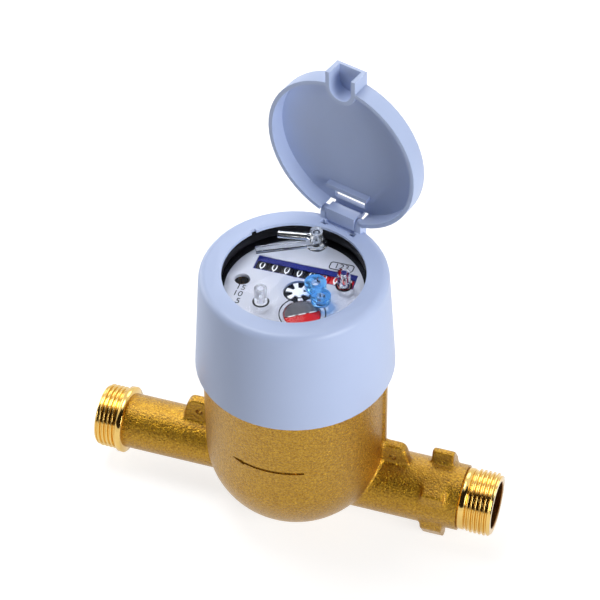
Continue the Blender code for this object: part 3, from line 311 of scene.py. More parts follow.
def spun(name, outline, steps):
    """Spin an outline of (radius, height) round Z into a closed shell."""
    ends_on_axis = outline[0][0] == 0.0 and outline[-1][0] == 0.0
    edges = [(i, i + 1) for i in range(len(outline) - 1)]
    if not ends_on_axis:
        edges.append((len(outline) - 1, 0))
    piece = make(name, [(r, 0, z) for r, z in outline], edges)
    edit(piece)
    bpy.ops.mesh.spin(steps=steps, angle=2 * math.pi, center=(0, 0, 0), axis=(0, 0, 1))
    bpy.ops.mesh.select_all(action="SELECT")
    bpy.ops.mesh.remove_doubles(threshold=WELD)
    face_outward()
    return piece


def drawn(name, outline, low, high):
    """Pull a flat outline of (x, y) up from low to high."""
    piece = make(name, [(x, y, low) for x, y in outline], [], [tuple(range(len(outline)))])
    edit(piece)
    bpy.ops.mesh.extrude_region_move(TRANSFORM_OT_translate={"value": (0, 0, high - low)})
    face_outward()
    return piece


def rod(name, radius, low, high, sides, centre=(0.0, 0.0)):
    bpy.ops.mesh.primitive_cylinder_add(
        vertices=sides, radius=radius, depth=high - low, location=(*centre, (low + high) / 2)
    )
    piece = bpy.context.object
    piece.name = name
    return settle(piece)


def block(name, x, y, z):
    bpy.ops.mesh.primitive_cube_add(size=1)
    piece = bpy.context.object
    piece.name = name
    piece.location = ((x[0] + x[1]) / 2, (y[0] + y[1]) / 2, (z[0] + z[1]) / 2)
    piece.scale = (x[1] - x[0], y[1] - y[0], z[1] - z[0])
    return settle(piece)


def lay_along_x(piece):
    """What was up the Z axis now runs along X, on the pipe's axis."""
    return settle(piece, Matrix.Translation((0, 0, AXIS_Z)) @ Matrix.Rotation(math.radians(90), 4, "Y"))


def stand_up(piece):
    """What was drawn in X and Y now stands in X and Z."""
    return settle(piece, Matrix.Rotation(math.radians(90), 4, "X"))


def joined(name, pieces):
    deselect()
    for piece in pieces:
        piece.select_set(True)
    bpy.context.view_layer.objects.active = pieces[0]
    bpy.ops.object.join()
    pieces[0].name = name
    return pieces[0]


def combine(piece, tool, operation, solver="EXACT"):
    modify(piece, "BOOLEAN", operation=operation, object=tool, solver=solver)
    bpy.data.objects.remove(tool, do_unlink=True)
    return piece


def arc(centre, radius, start, end, steps):
    """Points on an arc from start to end, in degrees."""
    points = []
    for i in range(steps + 1):
        angle = math.radians(start + (end - start) * i / steps)
        points.append((centre[0] + radius * math.cos(angle), centre[1] + radius * math.sin(angle)))
    return points


def figures(name, words, size, thickness):
    """Plain figures as a flat mesh, centred on the origin."""
    bpy.ops.object.text_add()
    text = bpy.context.object
    text.name = name
    text.data.body = words
    text.data.align_x = "CENTER"
    text.data.align_y = "CENTER"
    text.data.size = size
    text.data.extrude = thickness / 2
    text.data.resolution_u = 3
    pick(text)
    bpy.ops.object.convert(target="MESH")
    return bpy.context.object


def cad_copy(node, name, bevel_width, bevel_segments=2):
    """A welded copy of a CAD node's mesh with small bevels."""
    piece = bpy.data.objects.new(name, frame["nodes"][node].data.copy())
    bpy.context.scene.collection.objects.link(piece)
    piece.data.materials.clear()
    edit(piece)
    bpy.ops.mesh.remove_doubles(threshold=WELD)
    bpy.ops.mesh.dissolve_limited(angle_limit=FLAT_ANGLE)
    leave_edit()
    return bevel(piece, bevel_width, bevel_segments)


def place(piece, body, slot, finish, *nodes):
    """The piece rides on its body, takes its finish, and stands for the CAD nodes named."""
    piece.data.materials.clear()
    piece.data.materials.append(finish)
    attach(piece, body)
    if nodes:
        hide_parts(*nodes)


# Shared shader effects

def new_group(name, inputs, outputs):
    group = bpy.data.node_groups.new(name, "ShaderNodeTree")
    for label, kind, value in inputs:
        socket = group.interface.new_socket(name=label, in_out="INPUT", socket_type=kind)
        if value is not None:
            socket.default_value = value
    for label, kind in outputs:
        group.interface.new_socket(name=label, in_out="OUTPUT", socket_type=kind)
    start = group.nodes.new("NodeGroupInput")
    end = group.nodes.new("NodeGroupOutput")
    return group, start, end


def grain_group():
    """Fine and coarse grain mixed, for moulded and cast surfaces."""
    inputs = [("Vector", "NodeSocketVector", None), ("Fine", "NodeSocketFloat", 2000.0)]
    inputs += [("Coarse", "NodeSocketFloat", 300.0), ("Coarse Share", "NodeSocketFloat", 0.4)]
    outputs = [("Height", "NodeSocketFloat"), ("Patches", "NodeSocketFloat")]
    group, start, end = new_group("surface_grain", inputs, outputs)
    fine = group.nodes.new("ShaderNodeTexNoise")
    coarse = group.nodes.new("ShaderNodeTexNoise")
    fine.inputs["Detail"].default_value = 3.0
    coarse.inputs["Detail"].default_value = 2.0
    mix = group.nodes.new("ShaderNodeMix")
    links = group.links
    for noise, scale in ((fine, "Fine"), (coarse, "Coarse")):
        links.new(start.outputs["Vector"], noise.inputs["Vector"])
        links.new(start.outputs[scale], noise.inputs["Scale"])
    links.new(start.outputs["Coarse Share"], mix.inputs[0])
    links.new(fine.outputs["Fac"], mix.inputs[2])
    links.new(coarse.outputs["Fac"], mix.inputs[3])
    links.new(mix.outputs[0], end.inputs["Height"])
    links.new(coarse.outputs["Fac"], end.inputs["Patches"])
    return group


def tone_group():
    """Two tones mixed by slow patches."""
    inputs = [("Vector", "NodeSocketVector", None), ("Tone A", "NodeSocketColor", (0.5, 0.5, 0.5, 1))]
    inputs += [("Tone B", "NodeSocketColor", (0.4, 0.4, 0.4, 1)), ("Scale", "NodeSocketFloat", 60.0)]
    group, start, end = new_group("tone_patches", inputs, [("Color", "NodeSocketColor")])
    noise = group.nodes.new("ShaderNodeTexNoise")
    noise.inputs["Detail"].default_value = 4.0
    ramp = group.nodes.new("ShaderNodeMapRange")
    ramp.inputs["From Min"].default_value = 0.32
    ramp.inputs["From Max"].default_value = 0.68
    mix = group.nodes.new("ShaderNodeMix")
    mix.data_type = "RGBA"
    links = group.links
    links.new(start.outputs["Vector"], noise.inputs["Vector"])
    links.new(start.outputs["Scale"], noise.inputs["Scale"])
    links.new(noise.outputs["Fac"], ramp.inputs["Value"])
    links.new(ramp.outputs["Result"], mix.inputs["Factor"])
    links.new(start.outputs["Tone A"], mix.inputs["A"])
    links.new(start.outputs["Tone B"], mix.inputs["B"])
    links.new(mix.outputs["Result"], end.inputs["Color"])
    return group


GRAIN = grain_group()
TONES = tone_group()


def finish_material(
    name, tones, roughness, spread, metallic=0.0, scale=60.0, grain=(2000.0, 300.0, 0.4), bump=0.1,
    depth=0.0001, shine=0.5, coat=None,
):
    """A Principled finish with two tones, a roughness that varies by the spread, and grain in its normal."""
    made = bpy.data.materials.new(name)
    made.use_nodes = True
    nodes = made.node_tree.nodes
    links = made.node_tree.links
    shader = nodes["Principled BSDF"]
    where = nodes.new("ShaderNodeTexCoord")
    tone = nodes.new("ShaderNodeGroup")
    tone.node_tree = TONES
    tone.inputs["Tone A"].default_value = (*tones[0], 1)
    tone.inputs["Tone B"].default_value = (*tones[1], 1)
    tone.inputs["Scale"].default_value = scale
    surface = nodes.new("ShaderNodeGroup")
    surface.node_tree = GRAIN
    for label, value in zip(("Fine", "Coarse", "Coarse Share"), grain):
        surface.inputs[label].default_value = value
    rough = nodes.new("ShaderNodeMapRange")
    rough.inputs["To Min"].default_value = roughness - spread
    rough.inputs["To Max"].default_value = roughness + spread
    relief = nodes.new("ShaderNodeBump")
    relief.inputs["Strength"].default_value = bump
    relief.inputs["Distance"].default_value = depth
    links.new(where.outputs["Object"], tone.inputs["Vector"])
    links.new(where.outputs["Object"], surface.inputs["Vector"])
    links.new(tone.outputs["Color"], shader.inputs["Base Color"])
    links.new(surface.outputs["Patches"], rough.inputs["Value"])
    links.new(rough.outputs["Result"], shader.inputs["Roughness"])
    links.new(surface.outputs["Height"], relief.inputs["Height"])
    links.new(relief.outputs["Normal"], shader.inputs["Normal"])
    shader.inputs["Metallic"].default_value = metallic
    shader.inputs["Specular IOR Level"].default_value = shine
    if coat:
        shader.inputs["Coat Weight"].default_value = coat[0]
        shader.inputs["Coat Roughness"].default_value = coat[1]
    return made


def clear_material(name, colour, roughness, ior, transmission=1.0):
    """Clear plastic that lets the lamps' light through to what lies under it."""
    made = bpy.data.materials.new(name)
    made.use_nodes = True
    nodes = made.node_tree.nodes
    links = made.node_tree.links
    shader = nodes["Principled BSDF"]
    shader.inputs["Base Color"].default_value = (*colour, 1)
    shader.inputs["Roughness"].default_value = roughness
    shader.inputs["IOR"].default_value = ior
    shader.inputs["Transmission Weight"].default_value = transmission
    path = nodes.new("ShaderNodeLightPath")
    through = nodes.new("ShaderNodeBsdfTransparent")
    through.inputs["Color"].default_value = (*colour, 1)
    mix = nodes.new("ShaderNodeMixShader")
    links.new(path.outputs["Is Shadow Ray"], mix.inputs[0])
    links.new(shader.outputs[0], mix.inputs[1])
    links.new(through.outputs[0], mix.inputs[2])
    links.new(mix.outputs[0], nodes["Material Output"].inputs["Surface"])
    return made


CAST = finish_material(
    "cast_brass_finish", ((0.56, 0.315, 0.022), (0.30, 0.14, 0.003)), 0.30, 0.08, metallic=1.0, scale=1300.0,
    grain=(1500.0, 800.0, 0.35), bump=1.0, depth=0.0007, coat=(0.45, 0.45),
)
TURNED = finish_material(
    "turned_brass_finish", ((0.84, 0.58, 0.19), (0.78, 0.51, 0.14)), 0.12, 0.03, metallic=1.0, scale=120.0,
    grain=(3000.0, 500.0, 0.3), bump=0.02, depth=0.00002,
)
# Dark brass for the sleeve in each mouth: painted shade inside the bore
BORE = finish_material(
    "bore_painted_shade_finish", ((0.40, 0.19, 0.05), (0.30, 0.13, 0.035)), 0.24, 0.04, metallic=1.0, scale=200.0,
    bump=0.05, depth=0.00003,
)
STEEL = finish_material(
    "steel_finish", ((0.62, 0.62, 0.62), (0.54, 0.54, 0.55)), 0.28, 0.06, metallic=1.0, scale=150.0, bump=0.06
)
SHROUD = finish_material(
    "shroud_finish", ((0.50, 0.60, 0.86), (0.485, 0.585, 0.845)), 0.40, 0.04, scale=40.0,
    grain=(2600.0, 500.0, 0.3), bump=0.05, depth=0.00005,
)
DIAL = finish_material(
    "dial_finish", ((0.43, 0.45, 0.52), (0.42, 0.44, 0.51)), 0.45, 0.04, grain=(2200.0, 400.0, 0.3), bump=0.02
)
BLACK = finish_material(
    "black_finish", ((0.004, 0.004, 0.006), (0.007, 0.007, 0.009)), 0.32, 0.05, bump=0.05, shine=0.15
)
WHITE = finish_material("white_finish", ((0.80, 0.81, 0.83), (0.77, 0.78, 0.80)), 0.42, 0.04, bump=0.04)
GREY = finish_material("grey_finish", ((0.27, 0.27, 0.29), (0.24, 0.24, 0.26)), 0.45, 0.05, bump=0.06)
RED = finish_material(
    "red_finish", ((0.52, 0.006, 0.008), (0.47, 0.005, 0.007)), 0.32, 0.04, bump=0.03, shine=0.15
)
NAVY = finish_material(
    "navy_finish", ((0.012, 0.018, 0.16), (0.010, 0.015, 0.13)), 0.35, 0.04, bump=0.03, shine=0.15
)
SLATE = finish_material(
    "slate_finish", ((0.075, 0.075, 0.085), (0.065, 0.065, 0.075)), 0.42, 0.04, bump=0.03
)
RUBBER = finish_material(
    "rubber_finish", ((0.02, 0.02, 0.02), (0.026, 0.026, 0.026)), 0.75, 0.05, scale=80.0, bump=0.15
)
CLEAR = clear_material("clear_finish", (0.97, 0.98, 1.0), 0.02, 1.20)
WIPER_CLEAR = clear_material("wiper_finish_clear", (0.96, 0.98, 1.0), 0.02, 1.46)
BLUE = clear_material("blue_finish", (0.26, 0.64, 1.0), 0.04, 1.44, 0.85)


# Cast body

def bowl():
    centre_r = BOWL_R - BOWL_ROUND_R
    end = -math.degrees(math.asin((BOWL_ROUND_Z - BOWL_BOTTOM_Z) / BOWL_ROUND_R))
    outline = [(0.0, 0.0), (FOOT_R, 0.0), (FOOT_R + FOOT_TAPER, FOOT_HEIGHT)]
    outline += arc((centre_r, BOWL_ROUND_Z), BOWL_ROUND_R, end, 0.0, 24)
    return spun("bowl", outline + [(BOWL_R, BOWL_TOP_Z), (0.0, BOWL_TOP_Z)], 180)


def pipe(side, radius):
    low, high = sorted((side * PIPE_START_X, side * END_X))
    return lay_along_x(rod("pipe", radius, low, high, 96))


def wrench_block():
    """Flats at the front and the back, with a foot that stands up behind and one that hangs in front."""
    section = list(WRENCH_HALF) + [(-y, -z) for y, z in WRENCH_HALF]
    piece = drawn("wrench_block", [(-z, y) for y, z in section], WRENCH_X, WRENCH_X + WRENCH_WIDTH)
    return lay_along_x(piece)


def sealing_lug(side):
    outline = [(LUG_ROOT_X, LUG_LOW_Z), (LUG_REACH, LUG_LOW_Z)]
    outline += [(LUG_REACH - back, LUG_TOP_Z - down) for back, down in LUG_CORNER]
    outline.append((LUG_ROOT_X, LUG_TOP_Z))
    return stand_up(drawn("lug", [(side * x, z) for x, z in outline], -LUG_THICK / 2, LUG_THICK / 2))


def casting_ridge(side):
    return block("ridge", sorted(side * x for x in RIDGE_X), (-RIDGE_HALF, RIDGE_HALF), RIDGE_Z)


def cavity():
    top = BOWL_TOP_Z + PAST
    outline = [(0.0, CAVITY_FLOOR_Z), (CAVITY_R, CAVITY_FLOOR_Z), (CAVITY_R, LEDGE_Z)]
    return spun("cavity", outline + [(RIM_BORE_R, LEDGE_Z), (RIM_BORE_R, top), (0.0, top)], 120)


def waterway(side):
    inner = PORT_X - PORT_R
    outline = [(0.0, inner), (WATERWAY_R, inner), (WATERWAY_R, END_X - MOUTH_DEPTH)]
    outline += [(MOUTH_R, END_X - MOUTH_DEPTH), (MOUTH_R, END_X + PAST), (0.0, END_X + PAST)]
    return lay_along_x(spun("waterway", [(r, side * x) for r, x in outline], 72))


def bowl_port(side):
    return rod("port", PORT_R, AXIS_Z, CAVITY_FLOOR_Z + PAST, 48, (side * PORT_X, 0.0))


def lug_hole(side):
    centre = (side * LUG_HOLE[0], LUG_HOLE[1])
    return stand_up(rod("lug_hole", LUG_HOLE_R, -LUG_HOLE_REACH, LUG_HOLE_REACH, 24, centre))


def thread_space(side, length):
    """Clears the casting away where the turned end is."""
    low, high = sorted((side * (END_X - length), side * (END_X + 2 * PAST)))
    return lay_along_x(rod("thread_space", THREAD_SPACE_R, low, high, 64))


def flow_arrow():
    """The groove's cutter, bent round the bowl from the tip of the arrow's head to the end of its shaft."""
    base = ARROW_TIP + ARROW_HEAD
    stations = [(ARROW_TIP, ARROW_TIP_HALF), (base, ARROW_HEAD_HALF), (base + ARROW_NECK, ARROW_SHAFT_HALF)]
    for i in range(1, ARROW_STEPS + 1):
        stations.append((base + (ARROW_TAIL - base) * i / ARROW_STEPS, ARROW_SHAFT_HALF))
    inner, outer = BOWL_R - ARROW_DEPTH, BOWL_R + PAST
    verts = []
    for angle, half in stations:
        for r, z in ((inner, -half), (outer, -half), (outer, half), (inner, half)):
            verts.append((r * math.cos(angle), r * math.sin(angle), ARROW_Z + z))
    faces = [(3, 2, 1, 0), tuple(range(len(verts) - 4, len(verts)))]
    for i in range(len(stations) - 1):
        for j in range(4):
            k = (j + 1) % 4
            faces.append((4 * i + j, 4 * i + k, 4 * i + 4 + k, 4 * i + 4 + j))
    piece = make("flow_arrow", verts, [], faces)
    edit(piece)
    bpy.ops.mesh.quads_convert_to_tris()
    face_outward()
    return piece


def cast_body():
    """The sand casting: its shapes run into each other with soft corners, then it is machined."""
    shapes = [bowl(), pipe(1, INLET_PIPE_R), pipe(-1, OUTLET_PIPE_R), wrench_block()]
    for side in (1, -1):
        shapes += [sealing_lug(side), casting_ridge(side)]
    body = joined("body_casting_finish", shapes)
    modify(body, "REMESH", mode="VOXEL", voxel_size=CAST_VOXEL)
    modify(body, "SMOOTH", factor=0.5, iterations=CAST_SMOOTHING)
    tools = [cavity(), lug_hole(1), lug_hole(-1), flow_arrow()]
    tools += [thread_space(1, INLET_THREAD + INLET_RING), thread_space(-1, OUTLET_THREAD + COLLAR_WIDTH)]
    tools += [waterway(1), bowl_port(1), waterway(-1), bowl_port(-1)]
    for tool in tools:
        combine(body, tool, "DIFFERENCE", "MANIFOLD")
    place(soften(body, 42.0), "meter", "cast_brass", CAST, "body_casting")


def thread_radius(along, turn, length):
    """Radius of a rounded 55 degree thread at a distance from its start, with a lead-in and a run-out."""
    phase = (along / THREAD_PITCH - turn) % 1.0
    wave = 0.5 + 0.5 * math.cos(2 * math.pi * phase)
    crest = min(1.0, max(0.0, (wave - THREAD_ROOT_SHARE) / THREAD_FLANK_SHARE))
    run_out = min(1.0, along / (RUN_OUT_TURNS * THREAD_PITCH))
    lead_in = min(1.0, (length - along) / (LEAD_IN_TURNS * THREAD_PITCH) + LEAD_IN_LEAST)
    return THREAD_ROOT_R + (THREAD_CREST_R - THREAD_ROOT_R) * crest * run_out * lead_in


def turned_end(side, thread, shoulder, shoulder_r, name):
    """The machined end: a shoulder, the thread and the end face. Rows of points follow the thread."""
    rows = PITCH_ROWS * (math.ceil(thread / THREAD_PITCH) + 2)
    start = END_X - thread - shoulder
    edge = TURNED_EDGE
    before = [(shoulder_r - edge, start), (shoulder_r, start + edge)]
    before += [(shoulder_r, END_X - thread - edge), (shoulder_r - edge, END_X - thread)]
    after = [(MOUTH_R + edge, END_X), (MOUTH_R + edge, start)]
    verts = []
    for i in range(TURNED_STEPS):
        turn = i / TURNED_STEPS
        section = list(before)
        for row in range(rows + 1):
            along = min(thread, max(0.0, THREAD_PITCH * (row / PITCH_ROWS - 1 + turn)))
            section.append((thread_radius(along, turn, thread), END_X - thread + along))
        section += after
        angle = 2 * math.pi * turn
        for r, x in section:
            verts.append((side * x, side * r * math.cos(angle), AXIS_Z + r * math.sin(angle)))
    count = len(verts) // TURNED_STEPS
    first = len(before)
    faces = []
    for i in range(TURNED_STEPS):
        j = (i + 1) % TURNED_STEPS
        for k in range(count):
            corners = [i * count + k, i * count + (k + 1) % count]
            for m in ((k + 1) % count, k):
                # One turn further, the thread has moved on by the rows of one pitch
                if j == 0 and first <= m <= first + rows:
                    m = min(first + rows, m + PITCH_ROWS)
                corners.append(j * count + m)
            corners = list(dict.fromkeys(corners))
            if len(corners) > 2:
                faces.append(tuple(corners))
    piece = make(name, verts, [], faces)
    edit(piece)
    bpy.ops.mesh.remove_doubles(threshold=FINE_WELD)
    bpy.ops.mesh.dissolve_degenerate(threshold=FINE_WELD)
    face_outward()
    place(soften(piece, 62.0), "meter", "machined_brass", TURNED)
    mouth_sleeve(side, start, name + "_bore")


def mouth_sleeve(side, start, name):
    """A thin sleeve inside the turned end, in dark brass: painted shade on the mouth's wall."""
    low = start + SLEEVE_START
    wall = MOUTH_R + TURNED_EDGE - SLEEVE_GAP
    outline = [(MOUTH_R, low), (wall, low), (wall, END_X - 5 * SLEEVE_GAP), (MOUTH_R, END_X - TURNED_EDGE)]
    piece = lay_along_x(spun(name, [(r, side * x) for r, x in outline], 96))
    place(soften(piece), "meter", "machined_brass", BORE)


# Register

def drum_digits(index, slot):
    """The ten numerals printed round one drum, with 0 at the top."""
    x = COUNTER[0] + (index - (DRUMS - 1) / 2) * DRUM_PITCH
    numerals = []
    for digit in range(DIGITS):
        numeral = figures("numeral", str(digit), DIGIT_SIZE, 0.0)
        edit(numeral)
        bpy.ops.mesh.subdivide(number_cuts=1)
        bpy.ops.mesh.extrude_region_move(TRANSFORM_OT_translate={"value": (0, 0, DIGIT_RELIEF)})
        leave_edit()
        middle = sum((Vector(c) for c in numeral.bound_box), Vector()) / 8
        for vert in numeral.data.vertices:
            flat = vert.co - middle
            angle = flat.y / DRUM_R - 2 * math.pi * digit / DIGITS
            radius = DRUM_R + DIGIT_LIFT + max(0.0, vert.co.z)
            y, z = COUNTER[1] + radius * math.sin(angle), DRUM_Z + radius * math.cos(angle)
            vert.co = Vector((x + flat.x * DIGIT_NARROWING, y, z))
        numerals.append(numeral)
    piece = joined("numerals_%d" % (index + 1), numerals)
    edit(piece)
    bpy.ops.mesh.remove_doubles(threshold=FINE_WELD)
    face_outward()
    piece.matrix_world = Matrix.Identity(4)
    place(piece, "drum_%d" % (index + 1), slot, WHITE)


def number_drum(index):
    node = "number_drum_%d" % (index + 1)
    slot, finish = ("red_drum", RED) if index >= FIRST_RED_DRUM else ("black_plastic", BLACK)
    drum = cad_copy(node, node + "_finish", 0.00015)
    place(soften(drum), "drum_%d" % (index + 1), slot, finish, node)
    drum_digits(index, slot)


def ring_print(name, centre, radii, low, slot):
    """A printed ring, with its radii as (outer, inner)."""
    outer, inner = radii
    piece = spun(name, [(inner, low), (outer, low), (outer, low + PRINT), (inner, low + PRINT)], 72)
    place(soften(shift(piece, centre)), "meter", slot, BLACK)


def frame_outline(width, height, radius):
    points = []
    for cx, cy, start in ((1, 1, 0), (-1, 1, 90), (-1, -1, 180), (1, -1, 270)):
        centre = (cx * (width / 2 - radius), cy * (height / 2 - radius))
        points += arc(centre, radius, start, start + 90, 5)
    return points


def number_box(low):
    """A printed frame: a rounded rectangle with a smaller one cut out of it."""
    width, height = BOX_SIZE
    inner_round = max(BOX_LEAST_ROUND, BOX_ROUND - BOX_LINE)
    piece = drawn("number_box", frame_outline(width, height, BOX_ROUND), low, low + PRINT)
    inside = frame_outline(width - 2 * BOX_LINE, height - 2 * BOX_LINE, inner_round)
    combine(piece, drawn("hole", inside, low - PAST, low + PAST), "DIFFERENCE")
    place(shift(piece, BOX_AT), "meter", "dial_face", BLACK)


def dial():
    plate = cad_copy("dial_plate", "dial_finish_plate", 0.00012)
    place(soften(plate), "meter", "dial_face", DIAL, "dial_plate")
    low = DIAL_Z + PRINT_LIFT
    ring_print("dial_border", (0, 0), DIAL_BORDER, low, "black_plastic")
    ring_print("pulse_outline", PULSE, PULSE_OUTLINE, low, "dial_face")
    number_box(low)
    for name, words, centre in DIAL_NUMBERS:
        number = figures(name, words, DIAL_NUMBER_SIZE, PRINT)
        place(shift(number, centre, DIAL_Z + PRINT / 2 + PRINT_LIFT), "meter", "dial_face", BLACK)
    for index, spot in enumerate(POSTS):
        ring_print("post_foot_%d" % (index + 1), spot, POST_RING, GLASS_TOP_Z + PRINT_LIFT, "dial_face")


def counter_mask():
    """The dark blue frame sunk in the dial's window, wider above the drums than below them."""
    across, along = WINDOW[0] / 2 - MASK_GAP, WINDOW[1] / 2 - MASK_GAP
    mask = block("counter_mask", (-across, across), (-along, along), MASK_Z)
    hole = block("mask_hole", (MASK_SIDE - across, across - MASK_SIDE), MASK_HOLE_Y, MASK_HOLE_Z)
    combine(mask, hole, "DIFFERENCE")
    place(bevel(shift(mask, COUNTER), 0.0001, 1), "meter", "dial_face", NAVY)


def leak_star():
    """The star on its black ground."""
    ground = rod("star_ground", STAR_GROUND_R, RECESS_Z + PRINT_LIFT, RECESS_Z + STAR_GROUND_THICK, 72, DRIVE)
    hole = rod("ground_hole", STAR_HOLE_R, RECESS_Z - PAST, RECESS_Z + PAST, 32, DRIVE)
    combine(ground, hole, "DIFFERENCE")
    place(soften(ground), "meter", "black_plastic", BLACK)
    star = cad_copy("star_wheel", "leak_star", 0.00012)
    place(soften(star), "spindle", "white_plastic", WHITE, "star_wheel")


def pulse_disc():
    """The red disc, its slate half and the white dashes between the two."""
    outline = [(0.0, PULSE_LOW_Z), (PULSE_R, PULSE_LOW_Z), (PULSE_R, PULSE_EDGE_Z)]
    outline += [(PULSE_R - PULSE_EDGE, PULSE_TOP_Z), (0.0, PULSE_TOP_Z)]
    disc = shift(spun("pulse_disc_finish", outline, 96), PULSE)
    place(soften(disc), "pulse", "red_plastic", RED, "pulse_disc")
    low, high = (PULSE_TOP_Z + lift for lift in SLATE_LIFT)
    slate = drawn("pulse_half", arc((0.0, 0.0), SLATE_R, 0.0, 180.0, 32), low, high)
    place(shift(slate, PULSE, turn=PULSE_TURN), "pulse", "grey_plastic", SLATE)
    height = (PULSE_TOP_Z + PRINT_LIFT, PULSE_TOP_Z + DASH_THICK)
    length, width = DASH_HALF
    dashes = [block("dash", (x - length, x + length), (-width, width), height) for x in DASH_X]
    line = shift(joined("pulse_dashes", dashes), PULSE, turn=PULSE_TURN)
    place(line, "pulse", "white_plastic", WHITE)


def covers():
    glass = cad_copy("register_glass", "glass_cover", 0.00018)
    place(soften(glass), "meter", "clear_plastic", CLEAR, "register_glass")
    wiper = cad_copy("wiper", "wiper_finish", 0.00025)
    flange = rod("wiper_flange", WIPER_FLANGE_R, WIPER_Z, WIPER_Z + WIPER_FLANGE_THICK, 64, WIPER_AT)
    combine(wiper, bevel(flange, 0.0002, 2), "UNION")
    place(soften(wiper), "wiper", "clear_plastic", WIPER_CLEAR, "wiper")
    clip = cad_copy("module_clip", "clip_finish", 0.0008, 4)
    place(soften(clip), "meter", "blue_plastic", BLUE, "module_clip")
    ring = cad_copy("holding_ring", "holding_ring_finish", 0.0002)
    place(soften(ring), "meter", "black_plastic", BLACK, "holding_ring")
    cup = cad_copy("register_cup", "cup_finish", 0.0002)
    place(soften(cup), "meter", "black_plastic", BLACK, "register_cup")


def shroud_and_lid():
    shroud = cad_copy("shroud", "shroud_finish_shell", 0.0003, 3)
    place(soften(shroud), "meter", "shroud_plastic", SHROUD, "shroud")
    lid = cad_copy("lid", "lid_finish", 0.0003, 3)
    place(soften(lid), "lid", "shroud_plastic", SHROUD, "lid")


def plain_nodes():
    """Pieces inside the meter keep their solids and get a finish."""
    finishes = {"white_plastic": WHITE, "grey_plastic": GREY, "black_plastic": BLACK, "steel": STEEL}
    finishes.update({"machined_brass": TURNED, "seal_rubber": RUBBER, "red_plastic": RED})
    for part in frame["record"]["subparts"]:
        finish = finishes.get(part["material_slot"])
        if finish:
            node = frame["nodes"][part["node"]]
            node.data.materials.clear()
            node.data.materials.append(finish)


# Studio

def flat_colour(name, colour):
    made = bpy.data.materials.new(name)
    made.use_nodes = True
    shader = made.node_tree.nodes["Principled BSDF"]
    shader.inputs["Base Color"].default_value = (*colour, 1)
    shader.inputs["Roughness"].default_value = 0.9
    return made


def seen_rays(nodes, links, in_metal):
    """1 for what the eye or clear plastic sees, in_metal for what metal mirrors, 0 for bounced light."""
    path = nodes.new("ShaderNodeLightPath")
    first = nodes.new("ShaderNodeMath")
    first.operation = "MAXIMUM"
    second = nodes.new("ShaderNodeMath")
    second.operation = "MAXIMUM"
    mirror = nodes.new("ShaderNodeMath")
    mirror.operation = "MULTIPLY"
    mirror.inputs[1].default_value = in_metal
    links.new(path.outputs["Is Camera Ray"], first.inputs[0])
    links.new(path.outputs["Is Transmission Ray"], first.inputs[1])
    links.new(path.outputs["Is Glossy Ray"], mirror.inputs[0])
    links.new(first.outputs[0], second.inputs[0])
    links.new(mirror.outputs[0], second.inputs[1])
    return second.outputs[0]


def glow(nodes, links, levels, in_metal, socket):
    """Light of the lower level for soft bounced light, and of the upper one where it is seen."""
    level = nodes.new("ShaderNodeMapRange")
    level.inputs["To Min"].default_value, level.inputs["To Max"].default_value = levels
    links.new(seen_rays(nodes, links, in_metal), level.inputs["Value"])
    links.new(level.outputs["Result"], socket)


def floor():
    bpy.ops.mesh.primitive_plane_add(size=FLOOR_SIZE, location=(0, 0, 0))
    piece = bpy.context.object
    piece.name = "studio_floor"
    finish = flat_colour("floor_finish", (0.42, 0.42, 0.42))
    nodes = finish.node_tree.nodes
    shader = nodes["Principled BSDF"]
    shader.inputs["Emission Color"].default_value = (1, 1, 1, 1)
    glow(nodes, finish.node_tree.links, FLOOR_GLOW, FLOOR_IN_METAL, shader.inputs["Emission Strength"])
    piece.data.materials.append(finish)


def world():
    """A pale surround that lights softly, and is white to the eye, in metal and through clear plastic."""
    made = bpy.data.worlds.new("studio")
    bpy.context.scene.world = made
    made.use_nodes = True
    nodes = made.node_tree.nodes
    back = nodes["Background"]
    back.inputs["Color"].default_value = (1, 1, 1, 1)
    glow(nodes, made.node_tree.links, WORLD_GLOW, 1.0, back.inputs["Strength"])


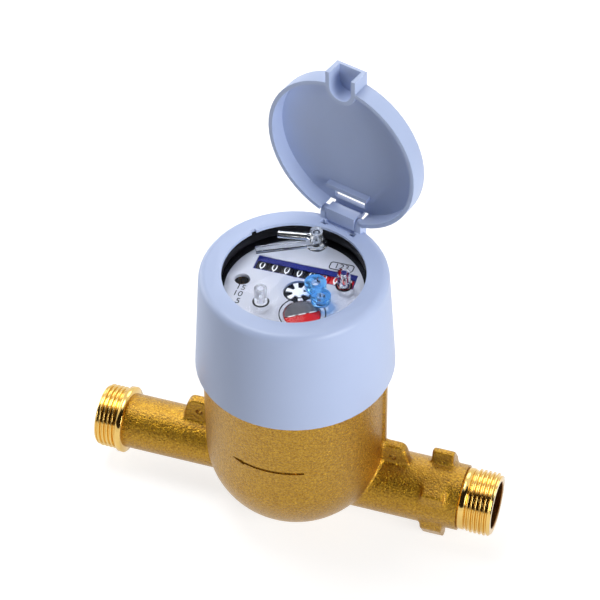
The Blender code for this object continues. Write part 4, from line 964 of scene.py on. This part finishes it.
def dark_wall():
    """A dark wall bent round the camera's side of the studio. The brass shows it as a dark band."""
    rows = len(WALL_ELEVATIONS)
    verts = []
    for i in range(WALL_STEPS + 1):
        azimuth = CAMERA_AZIMUTH + math.radians(-WALL_REACH + 2 * WALL_REACH / WALL_STEPS * i)
        for elevation in WALL_ELEVATIONS:
            angle = math.radians(elevation)
            out = WALL_R * math.cos(angle)
            verts.append((out * math.sin(azimuth), -out * math.cos(azimuth), WALL_R * math.sin(angle)))
    faces = []
    for i in range(WALL_STEPS):
        for j in range(i * rows, (i + 1) * rows - 1):
            faces.append((j, j + 1, j + rows + 1, j + rows))
    wall = make("dark_wall", verts, [], faces)
    wall.data.materials.append(flat_colour("dark_wall_finish", (0.02, 0.012, 0.006)))
    wall.visible_camera = False


def lamp(name, spot, aim_height, size, power):
    light = bpy.data.lights.new(name, "AREA")
    light.shape = "DISK"
    light.size = size
    light.energy = power
    made = bpy.data.objects.new(name, light)
    bpy.context.scene.collection.objects.link(made)
    made.location = spot
    aim = Vector((0, 0, aim_height)) - Vector(spot)
    made.rotation_euler = aim.to_track_quat("-Z", "Y").to_euler()


def studio():
    floor()
    world()
    dark_wall()
    for settings in LAMPS:
        lamp(*settings)


def camera():
    flat = math.cos(CAMERA_ELEVATION)
    azimuth = CAMERA_AZIMUTH
    back = Vector((math.sin(azimuth) * flat, -math.cos(azimuth) * flat, math.sin(CAMERA_ELEVATION)))
    right = Vector((math.cos(azimuth), math.sin(azimuth), 0))
    up = back.cross(right)
    aim = right * CAMERA_AIM[0] + up * CAMERA_AIM[1] + Vector((0, 0, CAMERA_AIM[2]))
    rolled_right = right * math.cos(CAMERA_ROLL) + up * math.sin(CAMERA_ROLL)
    rolled_up = up * math.cos(CAMERA_ROLL) - right * math.sin(CAMERA_ROLL)
    lens = bpy.data.cameras.new("photo_view")
    lens.lens = CAMERA_LENS
    lens.sensor_width = CAMERA_SENSOR
    lens.clip_start = CAMERA_NEAR
    made = bpy.data.objects.new("photo_view", lens)
    bpy.context.scene.collection.objects.link(made)
    turn = Matrix((rolled_right, rolled_up, back)).transposed().to_4x4()
    made.matrix_world = Matrix.Translation(aim + back * CAMERA_DISTANCE) @ turn
    bpy.context.scene.camera = made


def main():
    camera()
    plain_nodes()
    cast_body()
    turned_end(1, INLET_THREAD, INLET_RING, INLET_RING_R, "inlet_thread")
    turned_end(-1, OUTLET_THREAD, COLLAR_WIDTH, COLLAR_R, "outlet_thread")
    for index in range(DRUMS):
        number_drum(index)
    dial()
    counter_mask()
    leak_star()
    pulse_disc()
    covers()
    shroud_and_lid()
    studio()
    bpy.context.scene.view_settings.view_transform = "Standard"


main()
